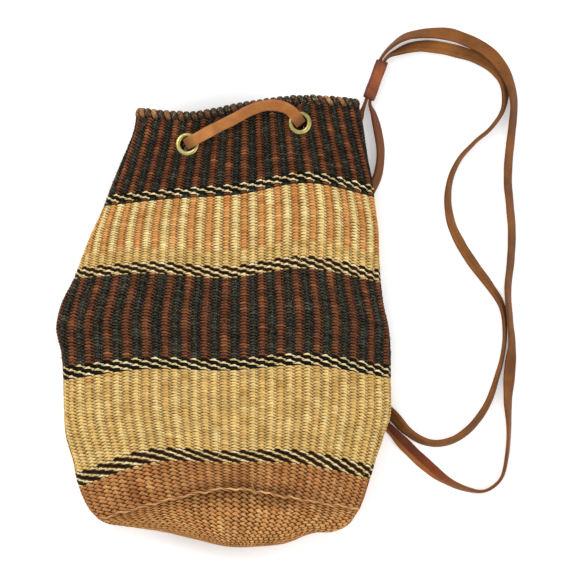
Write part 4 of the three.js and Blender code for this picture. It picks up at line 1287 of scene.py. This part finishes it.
(strap_line[0] + SHIFT) * MM
(strap_line + SHIFT) * MM


def brass_finish():
    """Worn brass: yellow-green metal with darker stains and fine scratches."""
    f = Finish("brass", Metallic=1.0, Roughness=0.3)
    spot = f.spot()
    cloud = f.noise(spot, 260.0, 3.0, 0.6)
    scratch = f.noise(spot, 700.0, 2.0, 0.5, stretch=(1, 6, 1))
    return f.set(Base_Color=f.tones(cloud, BRASS, 0.35, 0.7), Roughness=0.2 + 0.25 * cloud,
                 Normal=f.bump(scratch, 0.0002, 0.3))


def eyelet_piece(name, spot, normal, brass):
    """An eyelet as a ring turned about its axis: a rounded lip outside, a tube through the wall and a
    flat washer inside."""
    count, barrel = 48, 0.7
    bore, lip = EYELET_BORE / 2, EYELET_WIDTH / 2
    base = WALL / 2 + SEAT_GAP
    washer, back = lip - 1.4, -base - EYELET_LIP * 0.8
    mid, half = (lip + bore) / 2, (lip - bore) / 2
    crown = [
        [mid + half * math.cos(a), base + EYELET_LIP * math.sin(a) ** 0.8] for a in np.linspace(0, np.pi, 9)
    ]
    section = np.array(crown + [
        [bore, 0.0], [bore, back], [washer, back], [washer, -base], [bore + barrel, -base],
        [bore + barrel, base],
    ])
    side = unit(np.cross(normal, UP if abs(normal[2]) < 0.9 else np.array([1.0, 0, 0])))
    other = np.cross(normal, side)
    angle = np.linspace(0, 2 * np.pi, count, endpoint=False)
    radial = side[None, :] * np.cos(angle)[:, None] + other[None, :] * np.sin(angle)[:, None]
    points = spot + radial[:, None, :] * section[None, :, 0, None] + normal * section[None, :, 1, None]
    quads, _ = grid_quads(count, len(section), looped=True)
    mesh_piece(name + "_brass", name, points.reshape(-1, 3), quads[:, ::-1], None, brass)


brass = brass_finish()
for eyelet_name, (spot, normal) in eyelets.items():
    eyelet_piece(eyelet_name, spot, normal, brass)

# Floor and light

floor_mesh = bpy.data.meshes.new("floor")
floor_mesh.from_pydata([(-6, -6, 0), (6, -6, 0), (6, 6, 0), (-6, 6, 0)], [], [(0, 1, 2, 3)])
floor = bpy.data.objects.new("floor", floor_mesh)
bpy.context.scene.collection.objects.link(floor)
floor_finish = Finish(
    "floor", Roughness=0.9, Base_Color=(0.84, 0.84, 0.84, 1.0), Specular_IOR_Level=0.1,
    Emission_Strength=0.3,
)
# the floor glows a little, but not under the bag: an ellipse round the origin stays dark
BLACK, WHITE = (0.0, 0.0, 0.0, 1.0), (1.0, 1.0, 1.0, 1.0)
ELLIPSE = (9.0, 5.4, 0.0)
aside = floor_finish.node("VectorMath", {"operation": "MULTIPLY"}, {0: floor_finish.spot(), 1: ELLIPSE})
aside = floor_finish.node("VectorMath", {"operation": "LENGTH"}, {0: aside}, out=1)
floor_finish.set(Emission_Color=floor_finish.mix(aside.smooth(0.9, 1.2), BLACK, WHITE))
floor_mesh.materials.append(floor_finish.material)

world = bpy.data.worlds.new("world")
world.use_nodes = True
sky = world.node_tree.nodes["Background"]
sky.inputs["Color"].default_value = WHITE
sky.inputs["Strength"].default_value = 0.95
bpy.context.scene.world = world


def area_light(name, spot, size, power):
    """A square soft light at spot, turned to face the bag."""
    data = bpy.data.lights.new(name, "AREA")
    data.size, data.energy = size, power
    lamp = bpy.data.objects.new(name, data)
    lamp.location = spot
    aim = Vector((0.05, 0.02, 0.0)) - Vector(spot)
    lamp.rotation_euler = aim.to_track_quat("-Z", "Y").to_euler()
    bpy.context.scene.collection.objects.link(lamp)


area_light("key", (-0.9, 1.1, 1.7), 1.2, 24.0)
area_light("fill", (1.3, -0.6, 1.6), 1.4, 10.0)
bpy.context.scene.view_settings.view_transform = "Standard"
